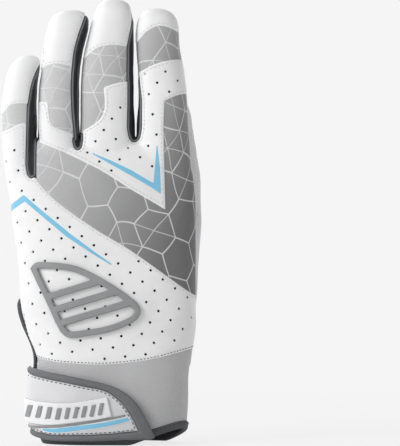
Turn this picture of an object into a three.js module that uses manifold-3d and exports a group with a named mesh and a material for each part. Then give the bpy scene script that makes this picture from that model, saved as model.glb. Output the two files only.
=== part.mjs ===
// A batting glove for the left hand, fingers up, back of the hand towards -Y and palm towards +Y.
// Its thumb lies folded over the front of the forefinger's lower half, on the +X side.
// Outlines are traced in columns and rows of the picture; the glove's real length gives their scale.
import * as THREE from "three";
import { mergeVertices } from "three/addons/utils/BufferGeometryUtils.js";
import Module from "manifold-3d";

const wasm = await Module();
wasm.setup();

// Driving sizes in millimetres
const gloveLength = 243.6;
const handDepth = 41;
const fingerDepth = 21;
const thumbDepth = 15;
const thumbForward = 21.2;
const wall = 1.6;
const clearance = 0.3;
const liningThickness = 0.7;
const backSeamDepth = 0.9;
const bindingThickness = 0.9;
const cuffBindingHeight = 4.4;
const cornerLift = 12.4;
const cornerRun = 33;
const cornerTwist = 9;
const cornerStart = 28;
const strapThickness = 1.6;
const strapBindingExtra = 0.7;
const padThickness = 0.8;
const strapEndDepth = 3;
const anchorLength = 7;
const barThickness = 1.5;
const filmThickness = 0.35;
const badgePlate = 1;
const badgeRib = 1.1;
const ventBindingWidth = 3.4;
const ventForward = 4;
const labelThickness = 0.4;
const overrun = 60;

// The picture's scale: the cuff's lowest row, the column of the glove's middle, the column that the
// palm view is counted back from, and a column well past the glove's edge
const bottomRow = 443;
const middleColumn = 100;
const palmViewEdge = 398;
const farColumn = 240;
const pixel = gloveLength / bottomRow;
const atX = (column) => (column - middleColumn) * pixel;
const atZ = (row) => (bottomRow - row) * pixel;
const fromPalm = (points) => points.map(([column, row]) => [palmViewEdge - column, row]);

// Sections from the bottom up: row, left column, right column, share of the depth, share of the way forward
const handSections = [
  [443, 47, 181, 0.88, 0],
  [432, 40, 185, 0.95, 0],
  [418, 36, 187, 1, 0],
  [395, 35, 188, 1, 0],
  [372, 36, 189, 0.96, 0],
  [354, 37, 191, 0.92, 0],
  [335, 30, 194, 0.88, 0],
  [310, 23, 195, 0.85, 0],
  [285, 21, 195, 0.83, 0],
  [255, 18, 196, 0.79, 0],
  [225, 14, 196, 0.74, 0],
  [198, 11, 195, 0.67, 0],
  [175, 7, 193, 0.62, 0],
  [150, 4, 190, 0.57, 0],
  [132, 3, 189, 0.54, 0],
];
const pinkySections = [
  [212, 13, 36, 0.5, 0],
  [180, 8, 32.5, 0.76, 0],
  [163, 5, 32, 0.88, 0],
  [140, 3, 33, 0.86, 0],
  [120, 2, 33.5, 0.86, 0],
  [103, 3, 34, 0.84, 0],
  [84, 6, 35.5, 0.82, 0],
  [72, 9, 36, 0.76, 0],
  [65, 12.5, 34.5, 0.64, 0],
  [60, 17, 31.5, 0.48, 0],
  [57, 22, 27, 0.26, 0],
];
const ringSections = [
  [200, 37, 78, 0.8, 0],
  [165, 37, 78, 0.98, 0],
  [138, 38.5, 77.5, 0.96, 0],
  [115, 36.5, 76, 0.95, 0],
  [92, 37, 75.5, 0.93, 0],
  [65, 41.5, 76, 0.9, 0],
  [45, 44, 78.5, 0.87, 0],
  [30, 47, 82, 0.82, 0],
  [22, 50.5, 83.5, 0.74, 0],
  [17, 55, 82.5, 0.62, 0],
  [14, 61, 79, 0.46, 0],
  [12.5, 66, 73, 0.26, 0],
];
const middleSections = [
  [200, 80, 137, 0.8, 0],
  [160, 80, 137, 1, 0],
  [135, 80, 137, 1, 0],
  [108, 78, 135.5, 0.98, 0],
  [75, 79, 133.5, 0.95, 0],
  [50, 84, 131.5, 0.92, 0],
  [30, 90, 131.5, 0.88, 0],
  [16, 94, 132, 0.8, 0],
  [8, 97.5, 130, 0.68, 0],
  [3.5, 102, 126, 0.5, 0],
  [0.5, 109, 118, 0.28, 0],
];
const indexSections = [
  [200, 139, 192, 0.8, 0],
  [165, 139, 191, 0.99, 0],
  [139, 139, 189, 0.99, 0],
  [112, 139, 187, 0.98, 0],
  [80, 137, 184, 0.95, 0],
  [58, 136, 181, 0.92, 0],
  [40, 135.5, 178.5, 0.88, 0],
  [27, 136.5, 177.5, 0.82, 0],
  [18, 140, 174, 0.7, 0],
  [13, 145, 168, 0.52, 0],
  [10, 151, 162, 0.28, 0],
];
const thumbSections = [
  [318, 176, 194, 0.8, 0.1],
  [292, 168, 196, 1.15, 0.22],
  [262, 162, 198, 1.3, 0.45],
  [235, 160, 199.5, 1.25, 0.68],
  [210, 158.5, 200, 1.12, 0.88],
  [190, 157, 199.5, 1, 1],
  [172, 156, 199, 0.98, 1],
  [150, 156.5, 195.5, 0.95, 1],
  [130, 157, 192.5, 0.92, 1],
  [112, 157.5, 189.5, 0.85, 1],
  [100, 158.5, 184, 0.74, 1],
  [93, 160.5, 178.5, 0.6, 1],
  [88, 163.5, 173.5, 0.42, 1],
];

// Rows where the fingers and the thumb bend
const bends = {
  index: { tip: 80 },
  middle: { base: 135, tip: 75 },
  ring: { base: 138, tip: 92 },
  pinky: { base: 163, tip: 120 },
  thumb: { tip: 186 },
};

// Seams of the back, in the back view's columns and rows
const bandTop = [
  [30, 141], [40, 143], [55, 150], [70, 155], [85, 163], [100, 170], [115, 178],
  [130, 190], [150, 200], [166, 210],
];
const stripEdge = [[166, 210], [165, 170], [164, 130], [165, 102], [175, 97], [187, 94], [212, 90]];
const bandBottom = [
  [20, 170], [36, 177], [50, 195], [70, 210], [100, 232], [130, 248], [160, 270], [192, 293],
  [212, 303],
];
const wristBack = [
  [10, 348], [38, 357], [60, 362], [100, 363], [125, 362], [150, 358], [170, 354], [192, 348],
  [212, 344],
];
const pinkyFold = [[34, 120], [34, 150], [33, 176]];
const pinkyRoot = [[34, 100], [34, 150], [33, 176], [20, 170], [-40, 170], [-40, 100]];
const webs = [[-20, 182], [31, 178], [42, 150], [78, 147], [134, 141], [220, 139]];
const fingerSeams = {
  index: { capEnd: [[130, 50], [139, 45], [148, 31], [162, 27], [177, 33], [190, 42]],
    flexEnd: [[128, 78], [140, 72], [155, 65], [170, 61], [192, 59]] },
  middle: { capEnd: [[70, 72], [84, 62], [97, 50], [115, 46], [140, 49]],
    flexEnd: [[70, 136], [85, 131], [100, 120], [105, 112], [104, 88], [118, 83], [140, 81]] },
  ring: { capEnd: [[30, 76], [41, 72], [58, 65], [82, 69]],
    flexEnd: [[28, 102], [49, 102], [51, 118], [53, 126], [67, 133], [84, 138]] },
  pinky: { capEnd: [[-6, 124], [3, 115], [14, 104], [38, 105]],
    flexEnd: [[-6, 138], [6, 131], [20, 124], [38, 122]] },
};

// Seams of the palm, in the palm view's columns and rows
const palmViewEdgeSeam = [
  [243, 120], [243, 155], [241, 184], [237, 215], [231, 240], [223, 258], [215, 277],
  [206, 295], [203, 305], [206, 318], [215, 345], [221, 366],
];
const palmViewWrist = [
  [180, 360], [207, 360], [220, 359], [240, 364], [260, 368], [300, 371], [340, 368],
  [357, 366], [400, 360],
];
const palmViewThumbSeam = [[226, 70], [223, 105], [223, 125], [220, 155], [213, 187], [210, 200]];
const palmViewInsertTop = [[190, 158], [220, 156], [244, 155], [260, 154]];
const thumbBaseTop = 155;
const palmEdge = fromPalm(palmViewEdgeSeam);
const wristPalm = fromPalm(palmViewWrist);
const thumbSeam = fromPalm(palmViewThumbSeam);
const thumbInsertTop = fromPalm(palmViewInsertTop);

// Dark side walls below the bends: the finger they belong to, their rows and the columns they reach
const sideWalls = {
  index_base_side_wall: { finger: indexSections, top: 80, bottom: 141, left: 120, right: 160 },
  ring_base_gusset: { finger: ringSections, top: 130, bottom: 178, left: 32.6, right: 60 },
};

// Raised pieces of the back, in the back view's columns and rows
const strapOutline = [
  [-20, 362], [20, 364], [33, 366], [50, 370], [70, 374], [90, 378], [107, 382], [121, 387],
  [131, 395], [140, 406], [148, 419], [154, 433], [120, 434.5], [80, 436], [55, 435],
  [40, 431], [20, 427], [-20, 424],
];
const strapFace = [
  [-20, 369], [20, 371], [33, 373], [50, 378], [70, 382], [90, 386], [104, 389], [114, 393],
  [123, 401], [131, 412], [139, 427], [100, 430.5], [60, 431], [42, 427],
  [20, 422], [-20, 419],
];
const barOutline = [
  [-20, 394], [15, 396], [30, 399], [60, 402], [90, 399], [108, 396], [113, 413], [100, 416],
  [70, 420], [50, 421], [35, 419], [15, 415], [-20, 412],
];
const strapStripe = [[50, 423.4], [64, 424.4], [96, 420], [128, 414], [131, 417], [98, 423.4], [64, 427.4]];
const hookPad = [[62, 388], [98, 392], [116, 400], [130, 424], [64, 427]];
const loopPad = [[58, 384], [100, 386], [124, 396], [138, 426], [60, 431]];
const badgeOutline = [
  [33, 268], [38, 263], [68, 264], [84, 268], [134, 300], [141, 310], [137, 319], [106, 332],
  [72, 336], [64, 332],
];
const badgeRibs = [
  [[42, 271], [66, 270], [70, 278], [46, 279]],
  [[50, 285], [82, 276], [92, 284], [55, 295]],
  [[58, 301], [100, 289], [110, 297], [63, 311]],
  [[66, 317], [116, 302], [125, 309], [71, 326]],
];
const upperStripe = [
  [157, 142], [160, 168], [161, 195], [152, 188], [130, 176.5], [90, 153], [112, 161], [132, 171.5],
  [154, 184], [155, 165],
];
const lowerStripe = [
  [6, 212], [13, 204], [25, 195], [40, 208], [70, 233], [120, 269], [68, 237], [40, 214],
  [26, 202], [14, 210], [6, 218],
];
const palmViewVent = [
  [363, 362], [361, 340], [365, 320], [373, 305], [379, 303], [380, 314], [376, 326],
  [369, 338], [366, 360],
];
const ventRoute = fromPalm(palmViewVent);
const ventForwardShares = [1, 1, 0.9, 0.4, 0, -0.4, -0.5, -0.4, -0.2];
const liningRows = [190, 342];
const elasticRows = [374, 386];
const anchorRows = [368, 424];
const labelOutline = [[92, 398], [116, 398], [116, 414], [92, 414]];

// Shares that shape the sections
const handRoundShare = 2.7;
const fingerRoundShare = 2.4;
const handSides = 24;
const fingerSides = 12;
const ventSides = 6;
const ventSteps = 14;
const frontMarginShares = { ring: 0.2, index: 0.11, tip: 0.09 };
const leastWallShare = 5;

// A closed three.js geometry as a solid that can be joined and cut
function solidOf(geometry) {
  geometry.deleteAttribute("normal");
  geometry.deleteAttribute("uv");
  const merged = mergeVertices(geometry);
  return new wasm.Manifold(
    new wasm.Mesh({
      numProp: 3,
      vertProperties: merged.attributes.position.array,
      triVerts: new Uint32Array(merged.index.array),
    }),
  );
}

function meshOf(name, solid, material) {
  const data = solid.getMesh();
  const geometry = new THREE.BufferGeometry();
  geometry.setAttribute("position", new THREE.BufferAttribute(data.vertProperties, 3));
  geometry.setIndex(new THREE.BufferAttribute(data.triVerts, 1));
  geometry.computeVertexNormals();
  const mesh = new THREE.Mesh(geometry, material);
  mesh.name = name;
  return mesh;
}

// A round-cornered tube through sections, grown all round by an offset, or shrunk if it is negative
function loft(sections, depth, forward, sides, roundness, offset) {
  const widest = Math.max(...sections.map(([, left, right]) => right - left));
  const positions = [];
  const indices = [];
  sections.forEach(([row, left, right, depthShare, forwardShare]) => {
    const halfWidth = Math.max(((right - left) / 2) * pixel + offset, clearance);
    const halfDepth = Math.max((depth * depthShare) / 2 + offset, clearance);
    const middle = atX((left + right) / 2);
    const height = atZ(row) + offset * Math.max(0, 1 - (2 * (right - left)) / widest);
    for (let side = 0; side < sides; side += 1) {
      const turn = (side / sides) * 2 * Math.PI;
      const across = Math.cos(turn);
      const along = Math.sin(turn);
      positions.push(
        middle + halfWidth * Math.sign(across) * Math.abs(across) ** (2 / roundness),
        forward * forwardShare + halfDepth * Math.sign(along) * Math.abs(along) ** (2 / roundness),
        height,
      );
    }
  });
  const rings = sections.length;
  for (let ring = 0; ring < rings - 1; ring += 1) {
    for (let side = 0; side < sides; side += 1) {
      const next = (side + 1) % sides;
      const [a, b] = [ring * sides + side, ring * sides + next];
      indices.push(a, b, b + sides, a, b + sides, a + sides);
    }
  }
  for (let side = 1; side < sides - 1; side += 1) {
    const last = (rings - 1) * sides;
    indices.push(0, side + 1, side);
    indices.push(last, last + side, last + side + 1);
  }
  const geometry = new THREE.BufferGeometry();
  geometry.setAttribute("position", new THREE.Float32BufferAttribute(positions, 3));
  geometry.setIndex(indices);
  return solidOf(geometry);
}

const handForm = (offset) => loft(handSections, handDepth, 0, handSides, handRoundShare, offset);
const fingerForm = (sections, offset) =>
  loft(sections, fingerDepth, 0, fingerSides, fingerRoundShare, offset);
const thumbForm = (offset) =>
  loft(thumbSections, thumbDepth, thumbForward, fingerSides, fingerRoundShare, offset);

// A block between two heights, two depths and two sides; what is left out reaches past the glove
function block({ low = -overrun, high = gloveLength + overrun, near = -overrun, far = overrun,
  left = -gloveLength, right = gloveLength }) {
  const geometry = new THREE.BoxGeometry(right - left, far - near, high - low);
  geometry.translate((left + right) / 2, (near + far) / 2, (low + high) / 2);
  return solidOf(geometry);
}

// A prism of an outline in columns and rows, between two depths
function prism(points, near = -overrun, far = overrun) {
  const shape = new THREE.Shape(points.map(([column, row]) => new THREE.Vector2(atX(column), atZ(row))));
  const geometry = new THREE.ExtrudeGeometry(shape, { depth: far - near, bevelEnabled: false });
  geometry.rotateX(Math.PI / 2);
  geometry.translate(0, far, 0);
  return solidOf(geometry);
}

// Thin slices along a seam, as deep as the glove, that leave the clearance between two panels
function seamCut(points) {
  const half = clearance / pixel / 2;
  const slices = points.slice(1).map(([column, row], i) => {
    const [fromColumn, fromRow] = points[i];
    const length = Math.hypot(column - fromColumn, row - fromRow);
    const [dx, dy] = [((column - fromColumn) / length) * half, ((row - fromRow) / length) * half];
    return prism([
      [fromColumn - dx - dy, fromRow - dy + dx], [column + dx - dy, row + dy + dx],
      [column + dx + dy, row + dy - dx], [fromColumn - dx + dy, fromRow - dy - dx],
    ]);
  });
  return slices.reduce((all, slice) => all.add(slice));
}

const cutSeams = (solid, seams) => seams.reduce((left, seam) => left.subtract(seamCut(seam)), solid);

// The largest body of a cut solid; slivers that a cut leaves beside it are dropped
function largest(solid) {
  return solid.decompose().sort((a, b) => b.volume() - a.volume())[0];
}

function middleOf(solid) {
  const { min, max } = solid.boundingBox();
  return (min[0] + max[0]) / 2;
}

const halfGap = clearance / 2;
const above = (row) => block({ low: atZ(row) + halfGap });
const below = (row) => block({ high: atZ(row) - halfGap });
const backHalf = block({ far: backSeamDepth - halfGap });
const frontHalf = block({ near: backSeamDepth + halfGap });

// The region on one side of a seam, out to a far row, or out past the thumb
const overSeam = (seam, row) => prism([...seam, [seam.at(-1)[0], row], [seam[0][0], row]]);
const besideSeam = (seam) => prism([...seam, [farColumn, seam.at(-1)[1]], [farColumn, seam[0][1]]]);

// Colours and finishes
const leatherWhite = new THREE.MeshStandardMaterial({ color: 0xf1f1f1, roughness: 0.55 });
const palmGrey = new THREE.MeshStandardMaterial({ color: 0xdcdcdc, roughness: 0.7 });
const smoothGrey = new THREE.MeshStandardMaterial({ color: 0xd6d6d8, roughness: 0.5 });
const flexGrey = new THREE.MeshStandardMaterial({ color: 0x8f8f90, roughness: 0.8 });
const charcoal = new THREE.MeshStandardMaterial({ color: 0x45464a, roughness: 0.85 });
const cuffGrey = new THREE.MeshStandardMaterial({ color: 0xc2c3c4, roughness: 0.7 });
const rubberGrey = new THREE.MeshStandardMaterial({ color: 0x8d8f90, roughness: 0.45 });
const skyBlue = new THREE.MeshStandardMaterial({ color: 0x72bfe2, roughness: 0.4 });
const liningWhite = new THREE.MeshStandardMaterial({ color: 0xe6e6e6, roughness: 0.9 });

const glove = new THREE.Group();
const add = (name, solid, material) => glove.add(meshOf(name, solid, material));

// The back of each finger: white tip cap, grey flex panel and white panel below it
function fingerBacks(name, shell, zones) {
  const { capEnd, flexEnd } = fingerSeams[name];
  const back = cutSeams(shell.intersect(backHalf), [capEnd, flexEnd]);
  const overCap = overSeam(capEnd, -overrun);
  const overFlex = overSeam(flexEnd, -overrun);
  zones.forEach(({ place, zone }) => {
    const here = back.intersect(zone);
    const pieces = [
      ["cap", here.intersect(overCap), leatherWhite],
      ["flex_panel", here.intersect(overFlex).subtract(overCap), flexGrey],
      ["back_panel", here.subtract(overFlex), leatherWhite],
    ];
    pieces.forEach(([piece, solid, material]) => {
      if (solid.isEmpty()) return;
      add(`${name}_${place}_${piece}`, largest(solid), material);
    });
  });
}

// The palm leather on a finger, narrower than the finger where a dark side wall shows beside it
function frontOutline(sections, outerSide, margin) {
  const widest = Math.max(...sections.map(([, left, right]) => right - left));
  const topRow = Math.min(...sections.map(([row]) => row)) + widest * frontMarginShares.tip;
  const inset = (columns) => columns - margin / pixel;
  const far = 2 * widest;
  const leftOf = ([, left]) =>
    outerSide === "left" ? left - far : left + inset(widest * frontMarginShares.ring);
  const rightOf = ([, , right]) =>
    outerSide === "right" ? right + far : right - inset(widest * frontMarginShares.index);
  const rows = sections.filter(([row]) => row > topRow + widest * frontMarginShares.tip);
  const top = rows.at(-1);
  const nearTop = sections.find(([row]) => row < top[0]);
  const crown = topRow - margin / pixel;
  return [
    ...rows.map((section) => [leftOf(section), section[0]]),
    [Math.min(leftOf(nearTop), leftOf(top)) + (nearTop[1] - top[1]), crown],
    [Math.max(rightOf(nearTop), rightOf(top)) + (nearTop[2] - top[2]), crown],
    ...rows.map((section) => [rightOf(section), section[0]]).reverse(),
  ];
}

function fingerFronts(name, sections, outerSide, shell, zones) {
  const front = shell.intersect(frontHalf).intersect(prism(frontOutline(sections, outerSide, 0), 0));
  const rest = shell.intersect(frontHalf).subtract(prism(frontOutline(sections, outerSide, clearance), 0));
  zones.forEach(({ place, zone }) => {
    add(`${name}_${place}_front`, largest(front.intersect(zone)), palmGrey);
    const walls = rest.intersect(zone).decompose().filter((w) => w.volume() > wall ** 3 * leastWallShare);
    walls.sort((a, b) => middleOf(a) - middleOf(b));
    const sides = walls.length > 1 ? ["side_wall_left", "side_wall_right"] : ["side_wall"];
    sides.forEach((side, i) => add(`${name}_${place}_${side}`, walls[i], charcoal));
  });
}

const fingers = {
  pinky: { sections: pinkySections, outerSide: "left" },
  ring: { sections: ringSections, outerSide: "none" },
  middle: { sections: middleSections, outerSide: "none" },
  index: { sections: indexSections, outerSide: "right" },
};

for (const [name, { sections, outerSide }] of Object.entries(fingers)) {
  const { base, tip } = bends[name];
  const shell = fingerForm(sections, 0).subtract(fingerForm(sections, -wall));
  const zones = [{ place: "tip", zone: above(tip) }];
  if (base) zones.push({ place: "base", zone: above(base).intersect(below(tip)) });
  fingerBacks(name, shell, zones);
  fingerFronts(name, sections, outerSide, shell, zones);
}

// The thumb above its fold: knurled front on the outer side, smooth back and dark flex insert
const thumbShell = thumbForm(0).subtract(thumbForm(-wall)).intersect(above(bends.thumb.tip));
const thumbCut = cutSeams(thumbShell, [thumbSeam]);
const overThumbSeam = besideSeam(thumbSeam);
const thumbBackCut = thumbCut.subtract(overThumbSeam).intersect(block({ near: thumbForward }));
const insertCut = cutSeams(thumbBackCut, [thumbInsertTop]);
const overInsert = overSeam(thumbInsertTop, -overrun);
const thumbLower = thumbCut
  .subtract(overThumbSeam)
  .intersect(block({ far: thumbForward - clearance }))
  .add(thumbCut.intersect(overThumbSeam));
add("thumb_front", largest(thumbLower), palmGrey);
add("thumb_back", largest(insertCut.intersect(overInsert)), smoothGrey);
add("thumb_flex_insert", largest(insertCut.subtract(overInsert)), flexGrey);

// The hand with the roots of its fingers and thumb, grown by an offset or shrunk to what is inside it
function wholeForm(offset) {
  const parts = Object.entries(fingers).map(([name, { sections }]) => {
    const { base, tip } = bends[name];
    const form = fingerForm(sections, offset);
    return offset < 0 ? form : form.intersect(below(base ?? tip));
  });
  const thumb = offset < 0 ? thumbForm(offset) : thumbForm(offset).intersect(below(bends.thumb.tip));
  const webLine = webs.map(([column, row]) => [column, row - offset / pixel]);
  const palm = handForm(offset).intersect(overSeam(webLine, bottomRow + overrun));
  return parts.reduce((all, part) => all.add(part), palm).add(thumb);
}

// The cuff's bottom rises on the thumb side: a tilted plane, moved up by the binding's height for its top edge
function cuffFloor(lift) {
  const geometry = new THREE.BoxGeometry(gloveLength, gloveLength, gloveLength);
  geometry.translate(0, 0, -gloveLength / 2);
  const slope = new THREE.Vector3(-cornerLift / cornerRun, cornerTwist / handDepth, 1).normalize();
  const turn = new THREE.Quaternion().setFromUnitVectors(new THREE.Vector3(0, 0, 1), slope);
  geometry.applyQuaternion(turn);
  geometry.translate(cornerStart, 0, lift);
  return solidOf(geometry).add(block({ low: -gloveLength, high: lift }));
}

const hollow = wholeForm(-wall).add(block({ high: 0 }));
const handShell = wholeForm(0).subtract(hollow).subtract(cuffFloor(0));

// The binding of the vent on the little finger's side: a rolled edge that bulges out round the slit
const ventCurve = new THREE.CatmullRomCurve3(
  ventRoute.map(([column, row], i) => new THREE.Vector3(atX(column), ventForward * ventForwardShares[i], atZ(row))),
);
function ventTube(radius) {
  const section = new THREE.Shape();
  for (let side = 0; side < ventSides; side += 1) {
    const turn = (side / ventSides) * 2 * Math.PI;
    const point = [radius * Math.cos(turn), radius * Math.sin(turn)];
    if (side === 0) section.moveTo(...point);
    else section.lineTo(...point);
  }
  section.closePath();
  return solidOf(
    new THREE.ExtrudeGeometry(section, { steps: ventSteps, bevelEnabled: false, extrudePath: ventCurve }),
  );
}
add("vent_binding", ventTube(ventBindingWidth / 2), charcoal);
const shell = handShell.subtract(ventTube(ventBindingWidth / 2 + clearance));

// Back of the hand
const overBandTop = overSeam([...bandTop, ...stripEdge.slice(1)], -overrun);
const overBandBottom = overSeam(bandBottom, -overrun);
const overPinkyFold = prism(pinkyRoot);
const overWrist = overSeam(wristBack, -overrun);
const back = cutSeams(shell.intersect(backHalf), [
  [...bandTop, ...stripEdge.slice(1)], bandBottom, wristBack, pinkyFold,
]);
const upperBack = back.intersect(overBandBottom).subtract(overPinkyFold);
add("knuckle_panel", largest(upperBack.intersect(overBandTop)), leatherWhite);
add("flex_band", largest(upperBack.subtract(overBandTop)), flexGrey);
add(
  "lower_back_panel",
  largest(back.intersect(overWrist).subtract(overBandBottom.subtract(overPinkyFold))),
  leatherWhite,
);

// Cuff, its elastic halves and the binding round its bottom edge
const cuffRim = cuffFloor(cuffBindingHeight);
const cuffBase = cuffFloor(cuffBindingHeight + clearance);
add("cuff_back", largest(back.subtract(overWrist).subtract(cuffBase)), cuffGrey);
const rimHollow = handForm(-wall - bindingThickness).add(block({ high: 0 }));
const rim = handForm(bindingThickness).intersect(cuffRim).subtract(cuffFloor(0));
add("cuff_binding", largest(rim.subtract(rimHollow)), charcoal);

// Palm side
const front = cutSeams(shell.intersect(frontHalf), [palmEdge, wristPalm]);
const overWristPalm = overSeam(wristPalm, -overrun);
const thumbSide = besideSeam(palmEdge).subtract(block({ low: atZ(thumbBaseTop) }));
const frontBody = front.intersect(overWristPalm);
const wallRegions = Object.entries(sideWalls).map(([name, { finger, top, bottom, left, right }]) => {
  const zone = (grow) => prism([
    [left - grow, top], [right, top], [right, bottom + grow], [left - grow, bottom + grow],
  ]);
  const outline = (margin) => prism(frontOutline(finger, "right", margin), 0);
  return {
    name,
    inside: zone(0).subtract(outline(clearance)),
    outside: zone(clearance / pixel).subtract(outline(0)),
  };
});
wallRegions.forEach(({ name, inside }) => add(name, largest(frontBody.intersect(inside)), charcoal));
const palmBody = wallRegions.reduce((left, { outside }) => left.subtract(outside), frontBody);
add("thumb_base_panel", largest(palmBody.intersect(thumbSide)), smoothGrey);
add("palm_leather", largest(palmBody.subtract(thumbSide)), palmGrey);
add("cuff_palm", largest(front.subtract(overWristPalm).subtract(cuffBase)), cuffGrey);

// Sheets that lie over the outside of the hand, or inside it where their offsets are negative
const sheet = (from, to) => handForm(to).subtract(handForm(from));
const backOnly = block({ far: 0 });
const insideFrom = -wall - clearance;

const lining = sheet(insideFrom - liningThickness, insideFrom).intersect(backOnly);
add("back_lining", largest(lining.intersect(below(liningRows[0])).intersect(above(liningRows[1]))), liningWhite);
const elastic = sheet(insideFrom - liningThickness, insideFrom).intersect(block({ near: 0 }));
add(
  "wrist_elastic",
  largest(elastic.intersect(below(elasticRows[0])).intersect(above(elasticRows[1]))),
  liningWhite,
);
const label = sheet(insideFrom - labelThickness, insideFrom).intersect(backOnly);
add("size_label", largest(label.intersect(prism(labelOutline))), liningWhite);

// Moulded pad on the back of the hand, plain slanted ribs on a thin plate
const badgeTop = clearance + badgePlate;
const badgePieces = badgeRibs.map((rib) => sheet(clearance, badgeTop + badgeRib).intersect(prism(rib)));
const badge = badgePieces.reduce(
  (all, rib) => all.add(rib),
  sheet(clearance, badgeTop).intersect(prism(badgeOutline)),
);
add("moulded_pad", largest(badge.intersect(backOnly)), rubberGrey);

// Welded films, which lie over the roots of the fingers too
const film = wholeForm(clearance + filmThickness).subtract(wholeForm(clearance)).intersect(backOnly);
add("upper_stripe", largest(film.intersect(prism(upperStripe))), skyBlue);
add("lower_stripe", largest(film.intersect(prism(lowerStripe))), skyBlue);

// Wrist strap: it is sewn to its anchor at the little finger's edge and peels off the loop pad
const loopTop = clearance + padThickness;
const hookBottom = loopTop + clearance;
const strapBottom = hookBottom + padThickness + clearance;
const strapTop = strapBottom + strapThickness;
const strapZone = block({ far: strapEndDepth });
const strapPrism = prism(strapOutline);
add("loop_pad", largest(sheet(clearance, loopTop).intersect(prism(loopPad)).intersect(backOnly)), cuffGrey);
add(
  "hook_pad",
  largest(sheet(hookBottom, hookBottom + padThickness).intersect(prism(hookPad)).intersect(backOnly)),
  charcoal,
);
const strapFacePrism = prism(strapFace);
const faceEdge = strapFace.map(([column, row], i) => {
  const before = strapFace.at(i - 1);
  const after = strapFace[(i + 1) % strapFace.length];
  const length = Math.hypot(after[0] - before[0], after[1] - before[1]);
  const grow = (2 * clearance) / pixel / length;
  return [column + (after[1] - before[1]) * grow, row - (after[0] - before[0]) * grow];
});
add("wrist_strap", largest(sheet(strapBottom, strapTop).intersect(strapFacePrism).intersect(strapZone)), cuffGrey);
add(
  "strap_binding",
  largest(
    sheet(strapBottom, strapTop + strapBindingExtra)
      .intersect(strapPrism)
      .intersect(strapZone)
      .subtract(prism(faceEdge)),
  ),
  charcoal,
);
const barBottom = strapTop + clearance;
add(
  "pull_bar",
  largest(sheet(barBottom, barBottom + barThickness).intersect(prism(barOutline)).intersect(strapZone)),
  rubberGrey,
);
add(
  "strap_stripe",
  largest(sheet(barBottom, barBottom + filmThickness).intersect(prism(strapStripe)).intersect(strapZone)),
  skyBlue,
);
const anchorZone = block({ near: strapEndDepth + clearance, far: strapEndDepth + anchorLength, right: 0 });
add(
  "strap_anchor",
  largest(sheet(clearance, strapTop).intersect(anchorZone).intersect(below(anchorRows[0])).intersect(above(anchorRows[1]))),
  charcoal,
);

export default glove;
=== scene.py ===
# A batting glove for the left hand: leather panels, printed flex fabric, knit side walls, a cuff and a strap.
# It stands on its cuff, back of the hand towards -Y, palm towards +Y, thumb folded over the forefinger at +X.
import math

import bmesh
import bpy
import numpy as np
from mathutils import Matrix, Vector
from mathutils.bvhtree import BVHTree
from mathutils.kdtree import KDTree


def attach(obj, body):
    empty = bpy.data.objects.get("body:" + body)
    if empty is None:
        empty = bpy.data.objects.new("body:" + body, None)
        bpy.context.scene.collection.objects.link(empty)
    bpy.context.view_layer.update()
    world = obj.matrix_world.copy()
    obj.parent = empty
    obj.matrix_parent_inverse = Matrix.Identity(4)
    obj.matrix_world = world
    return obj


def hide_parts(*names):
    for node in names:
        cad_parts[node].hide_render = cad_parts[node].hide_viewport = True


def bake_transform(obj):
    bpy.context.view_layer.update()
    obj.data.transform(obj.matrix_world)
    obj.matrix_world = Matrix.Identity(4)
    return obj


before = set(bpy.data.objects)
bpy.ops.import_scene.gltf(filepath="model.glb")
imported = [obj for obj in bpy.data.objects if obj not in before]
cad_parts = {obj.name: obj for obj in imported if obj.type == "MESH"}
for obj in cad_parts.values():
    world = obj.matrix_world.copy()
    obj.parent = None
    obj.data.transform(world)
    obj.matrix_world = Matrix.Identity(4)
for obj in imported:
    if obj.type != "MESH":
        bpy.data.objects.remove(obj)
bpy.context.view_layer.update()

# Outlines are given in columns and rows of the picture, and these turn them into metres
MM = 0.001
BOTTOM_ROW = 443
MIDDLE_COLUMN = 100
PALM_VIEW_EDGE = 398
PIXEL = 243.6 / BOTTOM_ROW * MM


def at_x(column):
    return (column - MIDDLE_COLUMN) * PIXEL


def at_z(row):
    return (BOTTOM_ROW - row) * PIXEL


def from_palm(points):
    return [(PALM_VIEW_EDGE - column, row) for column, row in points]


# Depths of the forms, and the layers' heights over them
HAND_DEPTH = 41 * MM
FINGER_DEPTH = 21 * MM
THUMB_DEPTH = 15 * MM
THUMB_FORWARD = 21.2 * MM
SHRINK = 1.3 * MM
REGROWTH = 1.62 * MM
VOXEL = 1.3 * MM
SIDE_SEAM = 0.9 * MM
LEATHER_TOP = 0.35 * MM
FABRIC_TOP = -0.25 * MM
UNDER_TOP = -0.85 * MM
WALL_TOP = -0.12 * MM
LEATHER_WALL = 0.9 * MM
FABRIC_WALL = 0.5 * MM

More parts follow.
